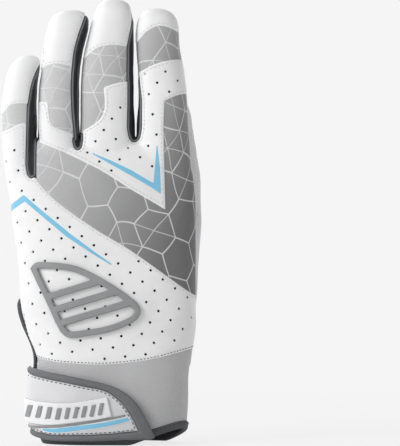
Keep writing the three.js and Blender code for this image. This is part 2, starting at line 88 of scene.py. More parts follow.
# Sections from the bottom up: row, left column, right column, share of the depth, share of the way forward
HAND = [
    (460, 47, 181, 0.8, 0), (443, 44.5, 182.5, 0.88, 0), (432, 40, 185, 0.95, 0),
    (418, 36, 187, 1, 0), (395, 35, 188, 1, 0), (372, 36, 189, 0.96, 0),
    (354, 37, 191, 0.92, 0), (335, 30, 194, 0.88, 0), (310, 23, 195, 0.85, 0),
    (285, 21, 195, 0.83, 0), (255, 18, 196, 0.79, 0), (225, 14, 196, 0.74, 0), (198, 11, 195, 0.67, 0),
    (175, 8, 193, 0.62, 0), (158, 14, 188, 0.54, 0), (150, 30, 186, 0.46, 0),
]
WEB = [(172, 60, 160, 0.5, 0), (152, 66, 156, 0.42, 0), (142, 70, 152, 0.3, 0)]
LOW_WEB = [(185, 28, 48, 0.5, 0), (152, 30, 46, 0.42, 0), (143, 32, 44, 0.3, 0)]
PINKY = [
    (215, 14, 37, 0.45, 0), (180, 8, 36.8, 0.76, 0), (163, 5, 36.6, 0.88, 0), (140, 3, 36.5, 0.86, 0),
    (120, 2, 36.5, 0.86, 0), (103, 3, 36.3, 0.84, 0), (84, 6, 36.9, 0.82, 0), (72, 9, 38.8, 0.76, 0),
    (65, 13, 40.1, 0.64, 0), (60, 18, 39.2, 0.48, 0), (57, 24, 33, 0.26, 0),
]
RING = [
    (200, 38.3, 78.9, 0.8, 0), (165, 38.3, 78.9, 0.98, 0), (138, 38.4, 78.9, 0.96, 0),
    (115, 38.3, 78.9, 0.95, 0), (92, 38.9, 79, 0.93, 0), (65, 42.6, 80.2, 0.9, 0),
    (45, 44.6, 84.1, 0.87, 0), (30, 47.4, 87.7, 0.82, 0),
    (22, 50.5, 88.9, 0.74, 0), (17, 55, 87, 0.62, 0), (14, 61, 82, 0.46, 0), (12.5, 66, 75, 0.26, 0),
]
MIDDLE = [
    (200, 80.6, 134.9, 0.8, 0), (160, 80.6, 134.9, 1, 0), (135, 80.6, 134.9, 1, 0), (120, 80.6, 134.6, 1, 0),
    (104, 80.6, 133.6, 0.98, 0), (75, 81.3, 133, 0.95, 0), (50, 85.4, 133.4, 0.92, 0),
    (30, 90.6, 133.5, 0.88, 0), (16, 94.5, 132.5, 0.8, 0), (8, 98, 130, 0.68, 0),
    (3.5, 102, 126, 0.5, 0), (0.5, 109, 118, 0.28, 0),
]
INDEX = [
    (200, 136.6, 192, 0.8, 0), (165, 136.6, 191, 0.99, 0), (139, 136.6, 189, 0.99, 0),
    (122, 136.8, 188, 0.98, 0), (106, 138, 187, 0.98, 0), (80, 138.8, 184.5, 0.95, 0),
    (58, 137.2, 181, 0.92, 0), (40, 136, 178.5, 0.88, 0), (27, 136.8, 177.5, 0.82, 0),
    (18, 140, 174.5, 0.7, 0), (13, 145, 168.5, 0.52, 0), (10, 151, 162, 0.28, 0),
]
THUMB = [
    (318, 176, 194, 0.8, 0.1), (292, 168, 196, 1.15, 0.22), (262, 162, 198, 1.3, 0.45),
    (235, 160, 199.5, 1.25, 0.68), (210, 158.5, 200, 1.12, 0.88), (190, 157, 199.5, 1, 1),
    (172, 156, 199, 0.98, 1), (150, 156.5, 195.5, 0.95, 1), (130, 157, 192.5, 0.92, 1),
    (112, 157.5, 189.5, 0.85, 1), (100, 158.5, 184, 0.74, 1), (93, 160.5, 178.5, 0.6, 1),
    (88, 163.5, 173.5, 0.42, 1),
]
PALM_ROUNDNESS = 2.7
FINGER_ROUNDNESS = 2.4
SMOOTHING = 8


def curved(points, steps=4):
    """A smooth line through rows of numbers, which may be points or whole sections."""
    rows = np.array(points, float)
    ends = np.vstack([2 * rows[0] - rows[1], rows, 2 * rows[-1] - rows[-2]])
    out = []
    for i in range(1, len(ends) - 2):
        a, b, c, d = ends[i - 1:i + 3]
        for k in range(steps):
            t = k / steps
            out.append(tuple(0.5 * (2 * b + (c - a) * t + (2 * a - 5 * b + 4 * c - d) * t * t
                                    + (3 * b - a - 3 * c + d) * t ** 3)))
    return out + [tuple(rows[-1])]


# Seams of the back
BAND_TOP = curved([
    (40, 143), (55, 149), (70, 155), (85, 162.5), (100, 170), (115, 179), (130, 189), (150, 200.5),
    (166, 210),
], 2)
STRIP_EDGE = (
    [(166, 210), (165, 170), (164, 130)] + curved([(165, 102), (175, 97), (187, 94), (212, 92)], 3)
)
BAND_BOTTOM = curved([
    (36, 177), (50, 194), (70, 210.5), (100, 231), (130, 249), (160, 270), (192, 293), (212, 303),
], 3)
WRIST_BACK = curved([
    (-20, 346), (10, 350), (38, 357), (60, 361.5), (100, 363.5), (125, 362), (150, 358.5), (170, 354),
    (192, 348), (212, 344),
], 2)
KNUCKLE = (
    [(40, 143), (38, 122), (38, 102), (49, 102)] + curved([(50, 112), (53, 125), (62, 130), (74, 134)], 3)
    + curved([(73, 142), (75, 148.5), (78.5, 150.5), (82, 148), (83.5, 140)], 3)
    + curved([(83, 131), (92, 126), (100, 120), (105, 110), (105, 98), (104, 88)], 3)
    + curved([(110, 86), (118, 83.5), (128, 82)], 2)
    + [(128, 105)] + curved([(127.5, 128), (129.5, 138.5), (134.5, 142.5), (140, 138.5), (142, 128)], 3)
    + [(142, 100), (140, 85)] + curved([(139, 72.5), (155, 65), (170, 61), (190, 58.5), (212, 57)], 3)
    + STRIP_EDGE[::-1] + BAND_TOP[::-1][1:-1]
)
LOWER_BACK = (
    curved([(-20, 140), (6, 131), (20, 124.5), (27.5, 123)], 3) + [(27, 145)]
    + curved([(26.5, 165), (28, 175), (32, 179)], 2)
    + BAND_BOTTOM + WRIST_BACK[::-1]
)
BAND = (
    [(39.5, 141)] + BAND_TOP[1:-1] + STRIP_EDGE
    + [(225, 92), (225, 306)] + BAND_BOTTOM[:0:-1] + [(39.5, 176)]
)
PALM_EDGE = from_palm([
    (243, 120), (243, 155), (241, 184), (237, 215), (231, 240), (223, 258), (215, 277), (206, 295),
    (203, 305), (206, 318), (215, 345), (221, 366),
])
WRIST_PALM = from_palm([
    (170, 360), (207, 360), (220, 359), (240, 364), (260, 368), (300, 371), (340, 368), (357, 366),
    (410, 360),
])


# The picture's columns and rows as points in metres
def outline(points):
    return np.array([(at_x(column), at_z(row)) for column, row in points])


# Signed distance in metres to a closed outline in X and Z, positive inside
def inside(points):
    ring = outline(points)
    ends = np.roll(ring, -1, axis=0)

    def field(co):
        flat = co[:, [0, 2]]
        nearest = np.full(len(flat), 1e9)
        odd = np.zeros(len(flat), bool)
        for start, end in zip(ring, ends):
            run = end - start
            if run @ run == 0:
                continue
            share = np.clip(((flat - start) @ run) / (run @ run), 0, 1)
            away = np.linalg.norm(flat - start - share[:, None] * run, axis=1)
            nearest = np.minimum(nearest, away)
            spans = (start[1] > flat[:, 1]) != (end[1] > flat[:, 1])
            if run[1] != 0:
                crossing = start[0] + (flat[:, 1] - start[1]) / run[1] * run[0]
                odd ^= spans & (flat[:, 0] < crossing)
        return np.where(odd, nearest, -nearest)

    return field


def back_side(depth=SIDE_SEAM):
    return lambda co: depth - co[:, 1]


def palm_side(depth=SIDE_SEAM):
    return lambda co: co[:, 1] - depth


def above_row(row):
    return lambda co: co[:, 2] - at_z(row)


def below_row(row):
    return lambda co: at_z(row) - co[:, 2]


def both(*fields):
    return lambda co: np.minimum.reduce([field(co) for field in fields])


def either(*fields):
    return lambda co: np.maximum.reduce([field(co) for field in fields])


def outside(field):
    return lambda co: -field(co)


def grown(field, distance):
    return lambda co: field(co) + distance


# Forms: lofted sections joined by a voxel remesh, smoothed, then grown back to size
def edges_of(ring):
    return list(dict.fromkeys(e for v in ring for e in v.link_edges))


def add_loft(bm, table, depth, forward, roundness, grow, sides=32):
    widest = max(right - left for _, left, right, _, _ in table)
    rings = []
    for row, left, right, depth_share, forward_share in curved(table):
        half_width = max((right - left) / 2 * PIXEL + grow, 0.3 * MM)
        half_depth = max(depth * depth_share / 2 + grow, 0.3 * MM)
        centre = Vector((
            at_x((left + right) / 2),
            forward * forward_share,
            at_z(row) + grow * max(0, 1 - 2 * (right - left) / widest),
        ))
        ring = bmesh.ops.create_circle(bm, segments=sides, radius=1)["verts"]
        for v in ring:
            across, along = v.co.x, v.co.y
            v.co = centre + Vector((
                half_width * math.copysign(abs(across) ** (2 / roundness), across),
                half_depth * math.copysign(abs(along) ** (2 / roundness), along),
                0,
            ))
        rings.append(edges_of(ring))
    for lower, upper in zip(rings, rings[1:]):
        bmesh.ops.bridge_loops(bm, edges=lower + upper)
    for ring in (rings[0], rings[-1]):
        bmesh.ops.contextual_create(bm, geom=ring)


def smoothed(bm, times):
    for _ in range(times):
        bmesh.ops.smooth_vert(
            bm, verts=bm.verts, factor=0.5, use_axis_x=True, use_axis_y=True, use_axis_z=True,
        )


def evaluated(obj):
    bpy.context.view_layer.update()
    graph = bpy.context.evaluated_depsgraph_get()
    mesh = bpy.data.meshes.new_from_object(obj.evaluated_get(graph), depsgraph=graph)
    old = obj.data
    bpy.data.objects.remove(obj)
    bpy.data.meshes.remove(old)
    return mesh


class Form:
    """A smooth closed surface that panels are cut from."""

    def __init__(self, lofts, creases):
        bm = bmesh.new()
        for table, depth, forward, roundness in lofts:
            add_loft(bm, table, depth, forward, roundness, -SHRINK)
        bmesh.ops.recalc_face_normals(bm, faces=bm.faces)
        mesh = bpy.data.meshes.new("form")
        bm.to_mesh(mesh)
        bm.free()
        obj = bpy.data.objects.new("form", mesh)
        bpy.context.collection.objects.link(obj)
        remesh = obj.modifiers.new("remesh", "REMESH")
        remesh.mode = "VOXEL"
        remesh.voxel_size = VOXEL
        mesh = evaluated(obj)
        self.bm = bmesh.new()
        self.bm.from_mesh(mesh)
        bpy.data.meshes.remove(mesh)
        smoothed(self.bm, SMOOTHING)
        self.bm.normal_update()
        for v in self.bm.verts:
            v.co += v.normal * REGROWTH
        self.bm.normal_update()
        self.read()
        rise = sum((crease(self.points) for crease in creases), np.zeros(len(self.points)))
        for v, height in zip(self.bm.verts, rise):
            v.co += v.normal * float(height)
        self.bm.normal_update()
        self.read()
        self.tree = BVHTree.FromBMesh(self.bm)

    def read(self):
        self.points = np.array([v.co for v in self.bm.verts])
        self.bm.verts.index_update()
        self.bm.edges.index_update()

    def on(self, column, row, toward):
        """The surface point behind a column and row, looking along toward (1 is +Y, -1 is -Y)."""
        start = Vector((at_x(column), -0.2 * toward, at_z(row)))
        point, normal, _, _ = self.tree.ray_cast(start, Vector((0, toward, 0)))
        return point, normal


def values_of(bm, field):
    return field(np.array([v.co for v in bm.verts]).reshape(-1, 3))


# Cuts the faces along the line where a field has a level, and drops what lies below it if asked
MERGE_DISTANCE = 0.1 * MM
SHARE_LOW, SHARE_HIGH = 0.02, 0.98


def cut_line(bm, field, level=0.0, drop=False):
    bm.verts.ensure_lookup_table()
    values = values_of(bm, field) - level
    bm.verts.index_update()
    high = values > 0
    made = []
    for e in list(bm.edges):
        a, b = e.verts
        i, j = a.index, b.index
        if high[i] == high[j]:
            continue
        share = values[i] / (values[i] - values[j])
        made.append((e, a, min(max(share, SHARE_LOW), SHARE_HIGH)))
    fresh = []
    for e, a, share in made:
        fresh.append(bmesh.utils.edge_split(e, a, share)[1])
    if fresh:
        bmesh.ops.connect_verts(bm, verts=fresh)
    if drop:
        keep = set(fresh)
        values = values_of(bm, field) - level
        low = [v for v, value in zip(bm.verts, values) if value < 0 and v not in keep]
        bmesh.ops.delete(bm, geom=low, context="VERTS")
        bmesh.ops.remove_doubles(bm, verts=[v for v in fresh if v.is_valid], dist=MERGE_DISTANCE)
    bm.verts.index_update()
    bm.verts.ensure_lookup_table()


def roughly(bm, field, margin=4 * MM):
    """Drops the faces far outside a field, to keep the cuts quick."""
    values = values_of(bm, field)
    far = [v for v, value in zip(bm.verts, values) if value < -margin]
    bmesh.ops.delete(bm, geom=far, context="VERTS")


# Height of a rolled edge, from nothing at the seam to its full height further in
def rolled(distance, roll):
    share = np.clip(distance / roll, 0, 1)
    return np.sqrt(np.clip(1 - (1 - share) ** 2, 0, 1))


ROLL = 0.9 * MM
ROLL_CUTS = (0.13, 0.45, 1.0)
GROOVE_WIDTH = 0.35 * MM
FINE_SMOOTHING = 3
STITCH_INSET = 1.5 * MM
STITCH_LENGTH = 1.7 * MM
STITCH_PITCH = 2.3 * MM
STITCH_WIDTH = 0.55 * MM
STITCH_FLATNESS = 0.42


def panel_mesh(form, field, top, roll=ROLL, drop_height=ROLL, holes=None, groove=0.0, fine=0):
    """One panel's outer face, as an open bmesh: cut, its edge rolled down and raised to its height."""
    bm = form.bm.copy()
    roughly(bm, field)
    if fine:
        bmesh.ops.subdivide_edges(bm, edges=bm.edges, cuts=fine, use_grid_fill=True)
        smoothed(bm, FINE_SMOOTHING)
    if holes:
        perforate(bm, form, *holes)
    cut_line(bm, field, 0.0, drop=True)
    for share in ROLL_CUTS:
        cut_line(bm, field, roll * share)
    if groove:
        for level in (STITCH_INSET, STITCH_INSET + 2 * GROOVE_WIDTH):
            cut_line(bm, field, level)
    bm.normal_update()
    values = values_of(bm, field)
    heights = top - drop_height * (1 - rolled(values, roll))
    if groove:
        heights = heights - groove * np.exp(-((values - STITCH_INSET) / GROOVE_WIDTH) ** 2)
    moves = [v.normal * float(h) for v, h in zip(bm.verts, heights)]
    for v, move in zip(bm.verts, moves):
        v.co += move
    return bm


# Round holes: a vertex is brought to each centre, its faces are halved, and its corner is cut off
HOLE_REACH = 3.2 * MM
HOLE_SHIFT = 1.6 * MM


def perforate(bm, form, centres, radius):
    tree = KDTree(len(bm.verts))
    bm.verts.ensure_lookup_table()
    for i, v in enumerate(bm.verts):
        tree.insert(v.co, i)
    tree.balance()
    chosen = []
    moves = {}
    for centre in centres:
        co, i, _ = tree.find(centre)
        shift = centre - co
        if shift.length > HOLE_SHIFT:
            continue
        for _, j, distance in tree.find_range(co, HOLE_REACH):
            share = (1 - (distance / HOLE_REACH) ** 2) ** 2
            moves[j] = moves.get(j, Vector()) + shift * share
        chosen.append(i)
    chosen = [bm.verts[i] for i in chosen]
    for j, move in moves.items():
        v = bm.verts[j]
        point, _, _, _ = form.tree.find_nearest(v.co + move)
        v.co = point
    for v in chosen:
        for face in list(v.link_faces):
            if len(face.verts) != 4:
                continue
            beside = {e.other_vert(v) for e in v.link_edges}
            far = [w for w in face.verts if w is not v and w not in beside]
            if far:
                bmesh.utils.face_split(face, v, far[0])
    made = bmesh.ops.bevel(
        bm, geom=chosen, offset=radius, offset_type="OFFSET", segments=1, profile=0.5,
        affect="VERTICES", material=-1, clamp_overlap=True,
    )
    bmesh.ops.delete(bm, geom=made["faces"], context="FACES")


# Lines on a form where a field has a level, as chains of points and normals
def contours(form, field, level):
    bm = form.bm
    values = field(form.points) - level
    if not hasattr(form, "ends"):
        form.ends = np.array([(e.verts[0].index, e.verts[1].index) for e in bm.edges])
        bm.edges.ensure_lookup_table()
        bm.verts.ensure_lookup_table()
    crossing = np.nonzero((values[form.ends[:, 0]] > 0) != (values[form.ends[:, 1]] > 0))[0]
    spots = {}
    for i in crossing:
        e = bm.edges[i]
        a, b = e.verts
        share = values[a.index] / (values[a.index] - values[b.index])
        spots[e] = (a.co.lerp(b.co, share), a.normal.lerp(b.normal, share).normalized())
    near = {e: [] for e in spots}
    for e in spots:
        for face in e.link_faces:
            others = [o for o in face.edges if o is not e and o in spots]
            if len(others) == 1:
                near[e].append(others[0])
    chains = []
    left = set(spots)
    starts = [e for e in spots if len(near[e]) < 2] + list(spots)
    for start in starts:
        if start not in left:
            continue
        chain = [start]
        left.discard(start)
        while True:
            following = [e for e in near[chain[-1]] if e in left]
            if not following:
                break
            chain.append(following[0])
            left.discard(following[0])
        closed = len(chain) > 3 and chain[0] in near[chain[-1]]
        if len(chain) > 2:
            chains.append(([spots[e] for e in chain], closed))
    return chains


def evenly(chain, spacing, closed=False):
    """Points and normals at even steps along a chain."""
    points = np.array([p for p, _ in chain])
    normals = np.array([n for _, n in chain])
    if closed:
        points = np.vstack([points, points[:1]])
        normals = np.vstack([normals, normals[:1]])
    run = np.concatenate([[0], np.cumsum(np.linalg.norm(np.diff(points, axis=0), axis=1))])
    count = max(int(round(run[-1] / spacing)), 1)
    at = np.linspace(0, run[-1], count + 1)
    if closed:
        at = at[:-1]
    spread_points = np.array([np.interp(at, run, points[:, k]) for k in range(3)]).T
    spread_normals = np.array([np.interp(at, run, normals[:, k]) for k in range(3)]).T
    return [(Vector(p), Vector(n).normalized()) for p, n in zip(spread_points, spread_normals)]


stitch_places = {}


def sew(form, field, height, inset=STITCH_INSET, keep=None, group="thread", pitch=STITCH_PITCH,
        length=STITCH_LENGTH, width=STITCH_WIDTH):
    """Notes one stitch at each step along a line inside a panel's edge."""
    for chain, closed in contours(form, field, inset):
        spots = evenly(chain, pitch, closed)
        for (a, normal), (b, _) in zip(spots, spots[1:]):
            middle = (a + b) / 2
            if keep is not None and keep(np.array([middle]))[0] <= 0:
                continue
            along = (b - a).normalized()
            beside = along.cross(normal).normalized()
            over = beside.cross(along).normalized()
            turn = Matrix((along, beside, over)).transposed().to_4x4()
            size = Matrix.Diagonal((length / 2, width / 2, width * STITCH_FLATNESS, 1))
            stitch_places.setdefault(group, []).append(
                (middle + over * height, Matrix.Translation(middle + over * height) @ turn @ size)
            )


def make_stitches(group, material, body=None, joint=None):
    """One object of stitches for each zone, on the hand's body or handed its zone's joint; one object only
    when a body or joint is given.
    """
    spots = stitch_places.get(group, [])
    if body or joint:
        bm = bmesh.new()
        for _, matrix in spots:
            bmesh.ops.create_icosphere(bm, subdivisions=1, radius=1, matrix=matrix)
        finished(f"{group}_stitches", bm, material, body=body, joint=joint, sharp=180)
        return
    points = np.array([point for point, _ in spots])
    left = np.ones(len(spots), bool)
    for place in [*ZONES, "hand"]:
        field, joint = ZONES[place] if place != "hand" else (None, None)
        here = left if field is None else left & (field(points) > 0)
        left = left & ~here
        bm = bmesh.new()
        for (_, matrix), wanted in zip(spots, here):
            if wanted:
                bmesh.ops.create_icosphere(bm, subdivisions=1, radius=1, matrix=matrix)
        finished(f"{group}_{place}", bm, material, body="hand" if joint is None else None, joint=joint,
                 sharp=180)


def tube(bm, spots, half_width, half_height, sides=12, closed=False, squareness=2.4):
    """A flattened tube along points, its height along their normals."""
    count = len(spots)
    rings = []
    for i, (point, normal) in enumerate(spots):
        before = spots[i - 1][0] if i or closed else point
        after = spots[(i + 1) % count][0] if i < count - 1 or closed else point
        along = (after - before).normalized()
        beside = along.cross(normal).normalized()
        over = beside.cross(along).normalized()
        ring = bmesh.ops.create_circle(bm, segments=sides, radius=1)["verts"]
        for v in ring:
            across, up = v.co.x, v.co.y
            v.co = (
                point
                + beside * half_width * math.copysign(abs(across) ** (2 / squareness), across)
                + over * half_height * math.copysign(abs(up) ** (2 / squareness), up)
            )
        rings.append(edges_of(ring))
    pairs = list(zip(rings, rings[1:])) + ([(rings[-1], rings[0])] if closed else [])
    for one, other in pairs:
        bmesh.ops.bridge_loops(bm, edges=one + other)
    if not closed:
        for ring in (rings[0], rings[-1]):
            bmesh.ops.contextual_create(bm, geom=ring)
    bmesh.ops.recalc_face_normals(bm, faces=bm.faces)


def cut_out(bm, field):
    """A copy of an open face, cut to a field."""
    part = bm.copy()
    roughly(part, field)
    cut_line(part, field, 0.0, drop=True)
    return part


def finished(name, bm, material, thickness=0.0, body=None, joint=None, nodes=(), slot=None, sharp=42):
    """Makes the object, gives it its wall, attaches it to its body and hides the parts it replaces; given a
    joint, it only bakes its transform.
    """
    if not bm.faces:
        bm.free()
        return
    mesh = bpy.data.meshes.new(name)
    bm.to_mesh(mesh)
    bm.free()
    obj = bpy.data.objects.new(name, mesh)
    bpy.context.collection.objects.link(obj)
    if thickness:
        solid = obj.modifiers.new("wall", "SOLIDIFY")
        solid.thickness = thickness
        solid.offset = -1
        mesh = evaluated(obj)
        mesh.name = name
        obj = bpy.data.objects.new(name, mesh)
        bpy.context.collection.objects.link(obj)
    mesh.shade_smooth()
    mesh.set_sharp_from_angle(angle=math.radians(sharp))
    mesh.materials.clear()
    mesh.materials.append(material)
    rest = np.empty(3 * len(mesh.vertices), np.float32)
    mesh.vertices.foreach_get("co", rest)
    mesh.attributes.new("rest", "FLOAT_VECTOR", "POINT").data.foreach_set("vector", rest)
    if joint:
        a, b, start, end = joint
        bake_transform(obj)
        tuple(start)
        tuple(end)
    else:
        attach(obj, body)
    if nodes:
        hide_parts(*nodes)


# Zones of the glove, each of which crosses one joint at most
PINKY_RING = [(42, 40), (41.8, 62), (38.4, 84), (37.4, 103), (37.4, 120), (37.4, 140), (37.6, 182)]
RING_MIDDLE = [(86, 0), (90, 20), (89.2, 31), (84.8, 48), (80.7, 70), (79.8, 92), (79.75, 182)]
MIDDLE_INDEX = [(134, -30), (134.8, 30), (135.6, 80), (135.7, 110), (135.75, 182)]
GAPS = {
    "pinky": [(-30, 182), (-30, 40)] + PINKY_RING,
    "ring": PINKY_RING[::-1] + [(45, 0)] + RING_MIDDLE,
    "middle": RING_MIDDLE[::-1] + [(90, -30)] + MIDDLE_INDEX,
    "index": MIDDLE_INDEX[::-1] + [(230, -30), (230, 182)],
}


def zone(finger, top, bottom):
    return both(inside(GAPS[finger]), below_row(top), above_row(bottom))


def joint_between(a, b, column, row, reach):
    return (a, b, (at_x(column), 0, at_z(row + reach)), (at_x(column), 0, at_z(row - reach)))


ZONES = {
    "pinky_root": (zone("pinky", 142, 181), joint_between("hand", "pinky_base", 18, 163, 16)),
    "pinky_top": (zone("pinky", -40, 142), joint_between("pinky_base", "pinky_tip", 18, 120, 17)),
    "ring_root": (zone("ring", 115, 156), joint_between("hand", "ring_base", 57, 138, 16)),
    "ring_top": (zone("ring", -40, 115), joint_between("ring_base", "ring_tip", 57, 92, 18)),
    "middle_root": (zone("middle", 105, 153), joint_between("hand", "middle_base", 107, 135, 16)),
    "middle_top": (zone("middle", -40, 105), joint_between("middle_base", "middle_tip", 107, 75, 20)),
    "index_top": (zone("index", -40, 93), joint_between("hand", "index_tip", 160, 80, 12)),
}
HAND_ZONE = outside(either(
    zone("pinky", -40, 181), zone("ring", -40, 156), zone("middle", -40, 153), zone("index", -40, 93),
))


def disc(column, row, radius):
    return lambda co: radius - np.hypot(co[:, 0] - at_x(column), co[:, 2] - at_z(row))


# Where three zones meet their cuts leave a small corner open, which a patch just under the surface fills
PATCH_RADIUS = 1.9 * MM
PATCH_DEPTH = 0.07 * MM
CORNERS = either(
    disc(80.6, 153, PATCH_RADIUS),
    both(disc(38.9, 156, PATCH_RADIUS), lambda co: co[:, 0] - at_x(37.45)),
)


def patch_corners(part, bm):
    patch = cut_out(bm, CORNERS)
    patch.normal_update()
    for v in patch.verts:
        v.co -= v.normal * PATCH_DEPTH
    mesh = bpy.data.meshes.new("patch")
    patch.to_mesh(mesh)
    patch.free()
    part.from_mesh(mesh)
    bpy.data.meshes.remove(mesh)


def spread(name, bm, material, thickness, zones, nodes, slot=None):
    """Splits a panel over zones, and finishes each part with the hand's body or its zone's joint."""
    for place in zones:
        field, joint = ZONES[place] if place != "hand" else (HAND_ZONE, None)
        part = cut_out(bm, field)
        if place == "hand":
            patch_corners(part, bm)
        label = name if place == "hand" else f"{name}_{place}"
        finished(
            label, part, material, thickness, body="hand" if place == "hand" else None, joint=joint,
            nodes=nodes.get(place, ()), slot=slot,
        )
    bm.free()


# Colours are written as they look and given to the shaders as light
def shade(text):
    parts = [int(text[i:i + 2], 16) / 255 for i in (0, 2, 4)]
    return tuple(c / 12.92 if c <= 0.04045 else ((c + 0.055) / 1.055) ** 2.4 for c in parts) + (1.0,)


class Value:
    """A shader socket that can be used in sums."""

    def __init__(self, paint, socket):
        self.paint = paint
        self.socket = socket

    def _math(self, operation, other, swapped=False):
        a, b = (other, self) if swapped else (self, other)
        return self.paint.node("ShaderNodeMath", {"operation": operation}, {0: a, 1: b})

    def __add__(self, other):
        return self._math("ADD", other)

    def __radd__(self, other):
        return self._math("ADD", other, True)

    def __sub__(self, other):
        return self._math("SUBTRACT", other)

    def __rsub__(self, other):
        return self._math("SUBTRACT", other, True)

    def __mul__(self, other):
        return self._math("MULTIPLY", other)

    def __rmul__(self, other):
        return self._math("MULTIPLY", other, True)

    def __truediv__(self, other):
        return self._math("DIVIDE", other)

    def __lt__(self, other):
        return self._math("LESS_THAN", other)

    def __gt__(self, other):
        return self._math("GREATER_THAN", other)


class Paint:
    """A material made in code."""

    def __init__(self, name, **settings):
        self.material = bpy.data.materials.new(name)
        self.material.use_nodes = True
        self.tree = self.material.node_tree
        self.tree.nodes.clear()
        self.shader = self.tree.nodes.new("ShaderNodeBsdfPrincipled")
        self.output = self.tree.nodes.new("ShaderNodeOutputMaterial")
        self.tree.links.new(self.shader.outputs[0], self.output.inputs[0])
        for key, value in settings.items():
            self.shader.inputs[key.replace("_", " ")].default_value = value

    def node(self, kind, settings=None, inputs=None, output=0):
        made = self.tree.nodes.new(kind)
        for key, value in (settings or {}).items():
            setattr(made, key, value)
        for key, value in (inputs or {}).items():
            self.join(made.inputs[key], value)
        return Value(self, made.outputs[output])

    def join(self, socket, value):
        if isinstance(value, Value):
            self.tree.links.new(value.socket, socket)
        else:
            socket.default_value = value

    def set(self, **links):
        for key, value in links.items():
            self.join(self.shader.inputs[key.replace("_", " ")], value)
        return self

    def place(self):
        """Where a point lies on the glove at rest, so that patterns stay put when a finger bends."""
        return self.node("ShaderNodeAttribute", {"attribute_name": "rest"}, None, "Vector")

    def parts(self, vector):
        """The three numbers of a vector."""
        split = self.node("ShaderNodeSeparateXYZ", None, {0: vector})
        return [Value(self, socket) for socket in split.socket.node.outputs]

    def maths(self, operation, *values):
        return self.node("ShaderNodeMath", {"operation": operation}, dict(enumerate(values)))

    def noise(self, scale, detail=3):
        return self.node("ShaderNodeTexNoise", None,
                         {"Vector": self.place(), "Scale": scale, "Detail": detail}, "Fac")

    def blend(self, share, low, high):
        return self.node("ShaderNodeMix", {"data_type": "RGBA"}, {0: share, 6: low, 7: high}, 2)

    def bump(self, height, distance, strength=1.0, normal=None):
        inputs = {"Height": height, "Distance": distance, "Strength": strength}
        if normal is not None:
            inputs["Normal"] = normal
        return self.node("ShaderNodeBump", None, inputs, "Normal")


# The flex fabric's printed net: its cells from side to side, its lines' half width, how far it strays
FLEX_CELL = 22.5 * MM
FLEX_LINE = 0.42 * MM
FLEX_WARP = 18 * MM


def white_leather():
    paint = Paint("white_leather_finish", Roughness=0.5, Specular_IOR_Level=0.4)
    grain = paint.node("ShaderNodeTexVoronoi", {"feature": "DISTANCE_TO_EDGE"},
                       {"Vector": paint.place(), "Scale": 1500}, "Distance")
    fine = paint.noise(2600, 2)
    soft = paint.noise(60, 4)
    tint = paint.blend(soft, shade("efeff0"), shade("fafafa"))
    height = grain * 0.5 + fine * 0.4 + paint.noise(420, 3) * 1.4
    paint.set(Base_Color=tint, Roughness=0.42 + soft * 0.2, Normal=paint.bump(height, 0.12 * MM, 0.35))
    return paint.material


# A net of six-sided cells, as far across from side to side as given
def honeycomb(paint, u, v, cell):
    """How far a point is from its cell's nearest side and from its diagonals, and the cell's chances."""
    slant = math.sqrt(3) / 2
    wide = 2 * slant * cell
    near = []
    for shift_u, shift_v in ((0.0, 0.0), (wide / 2, cell / 2)):
        from_u = paint.maths("WRAP", u - shift_u, wide / 2, -wide / 2)
        from_v = paint.maths("WRAP", v - shift_v, cell / 2, -cell / 2)
        near.append((from_u, from_v, from_u * from_u + from_v * from_v))
    (u_one, v_one, one), (u_other, v_other, other) = near
    first = one < other
    from_u = u_other + (u_one - u_other) * first
    from_v = v_other + (v_one - v_other) * first
    high = paint.maths("ABSOLUTE", from_v)
    reach = paint.maths("MAXIMUM", high, paint.maths("ABSOLUTE", from_u) * slant + high * 0.5)
    spokes = [
        high,
        paint.maths("ABSOLUTE", from_u * slant - from_v * 0.5),
        paint.maths("ABSOLUTE", from_u * slant + from_v * 0.5),
    ]
    column = paint.maths("ROUND", (u - from_u) / (wide / 2))
    row = paint.maths("ROUND", (v - from_v) / (cell / 2))
    name = paint.node("ShaderNodeCombineXYZ", None, {"X": column, "Y": row, "Z": 0.0})
    drawn = paint.node("ShaderNodeTexWhiteNoise", {"noise_dimensions": "2D"}, {"Vector": name}, "Color")
    return cell / 2 - reach, spokes, paint.parts(drawn)


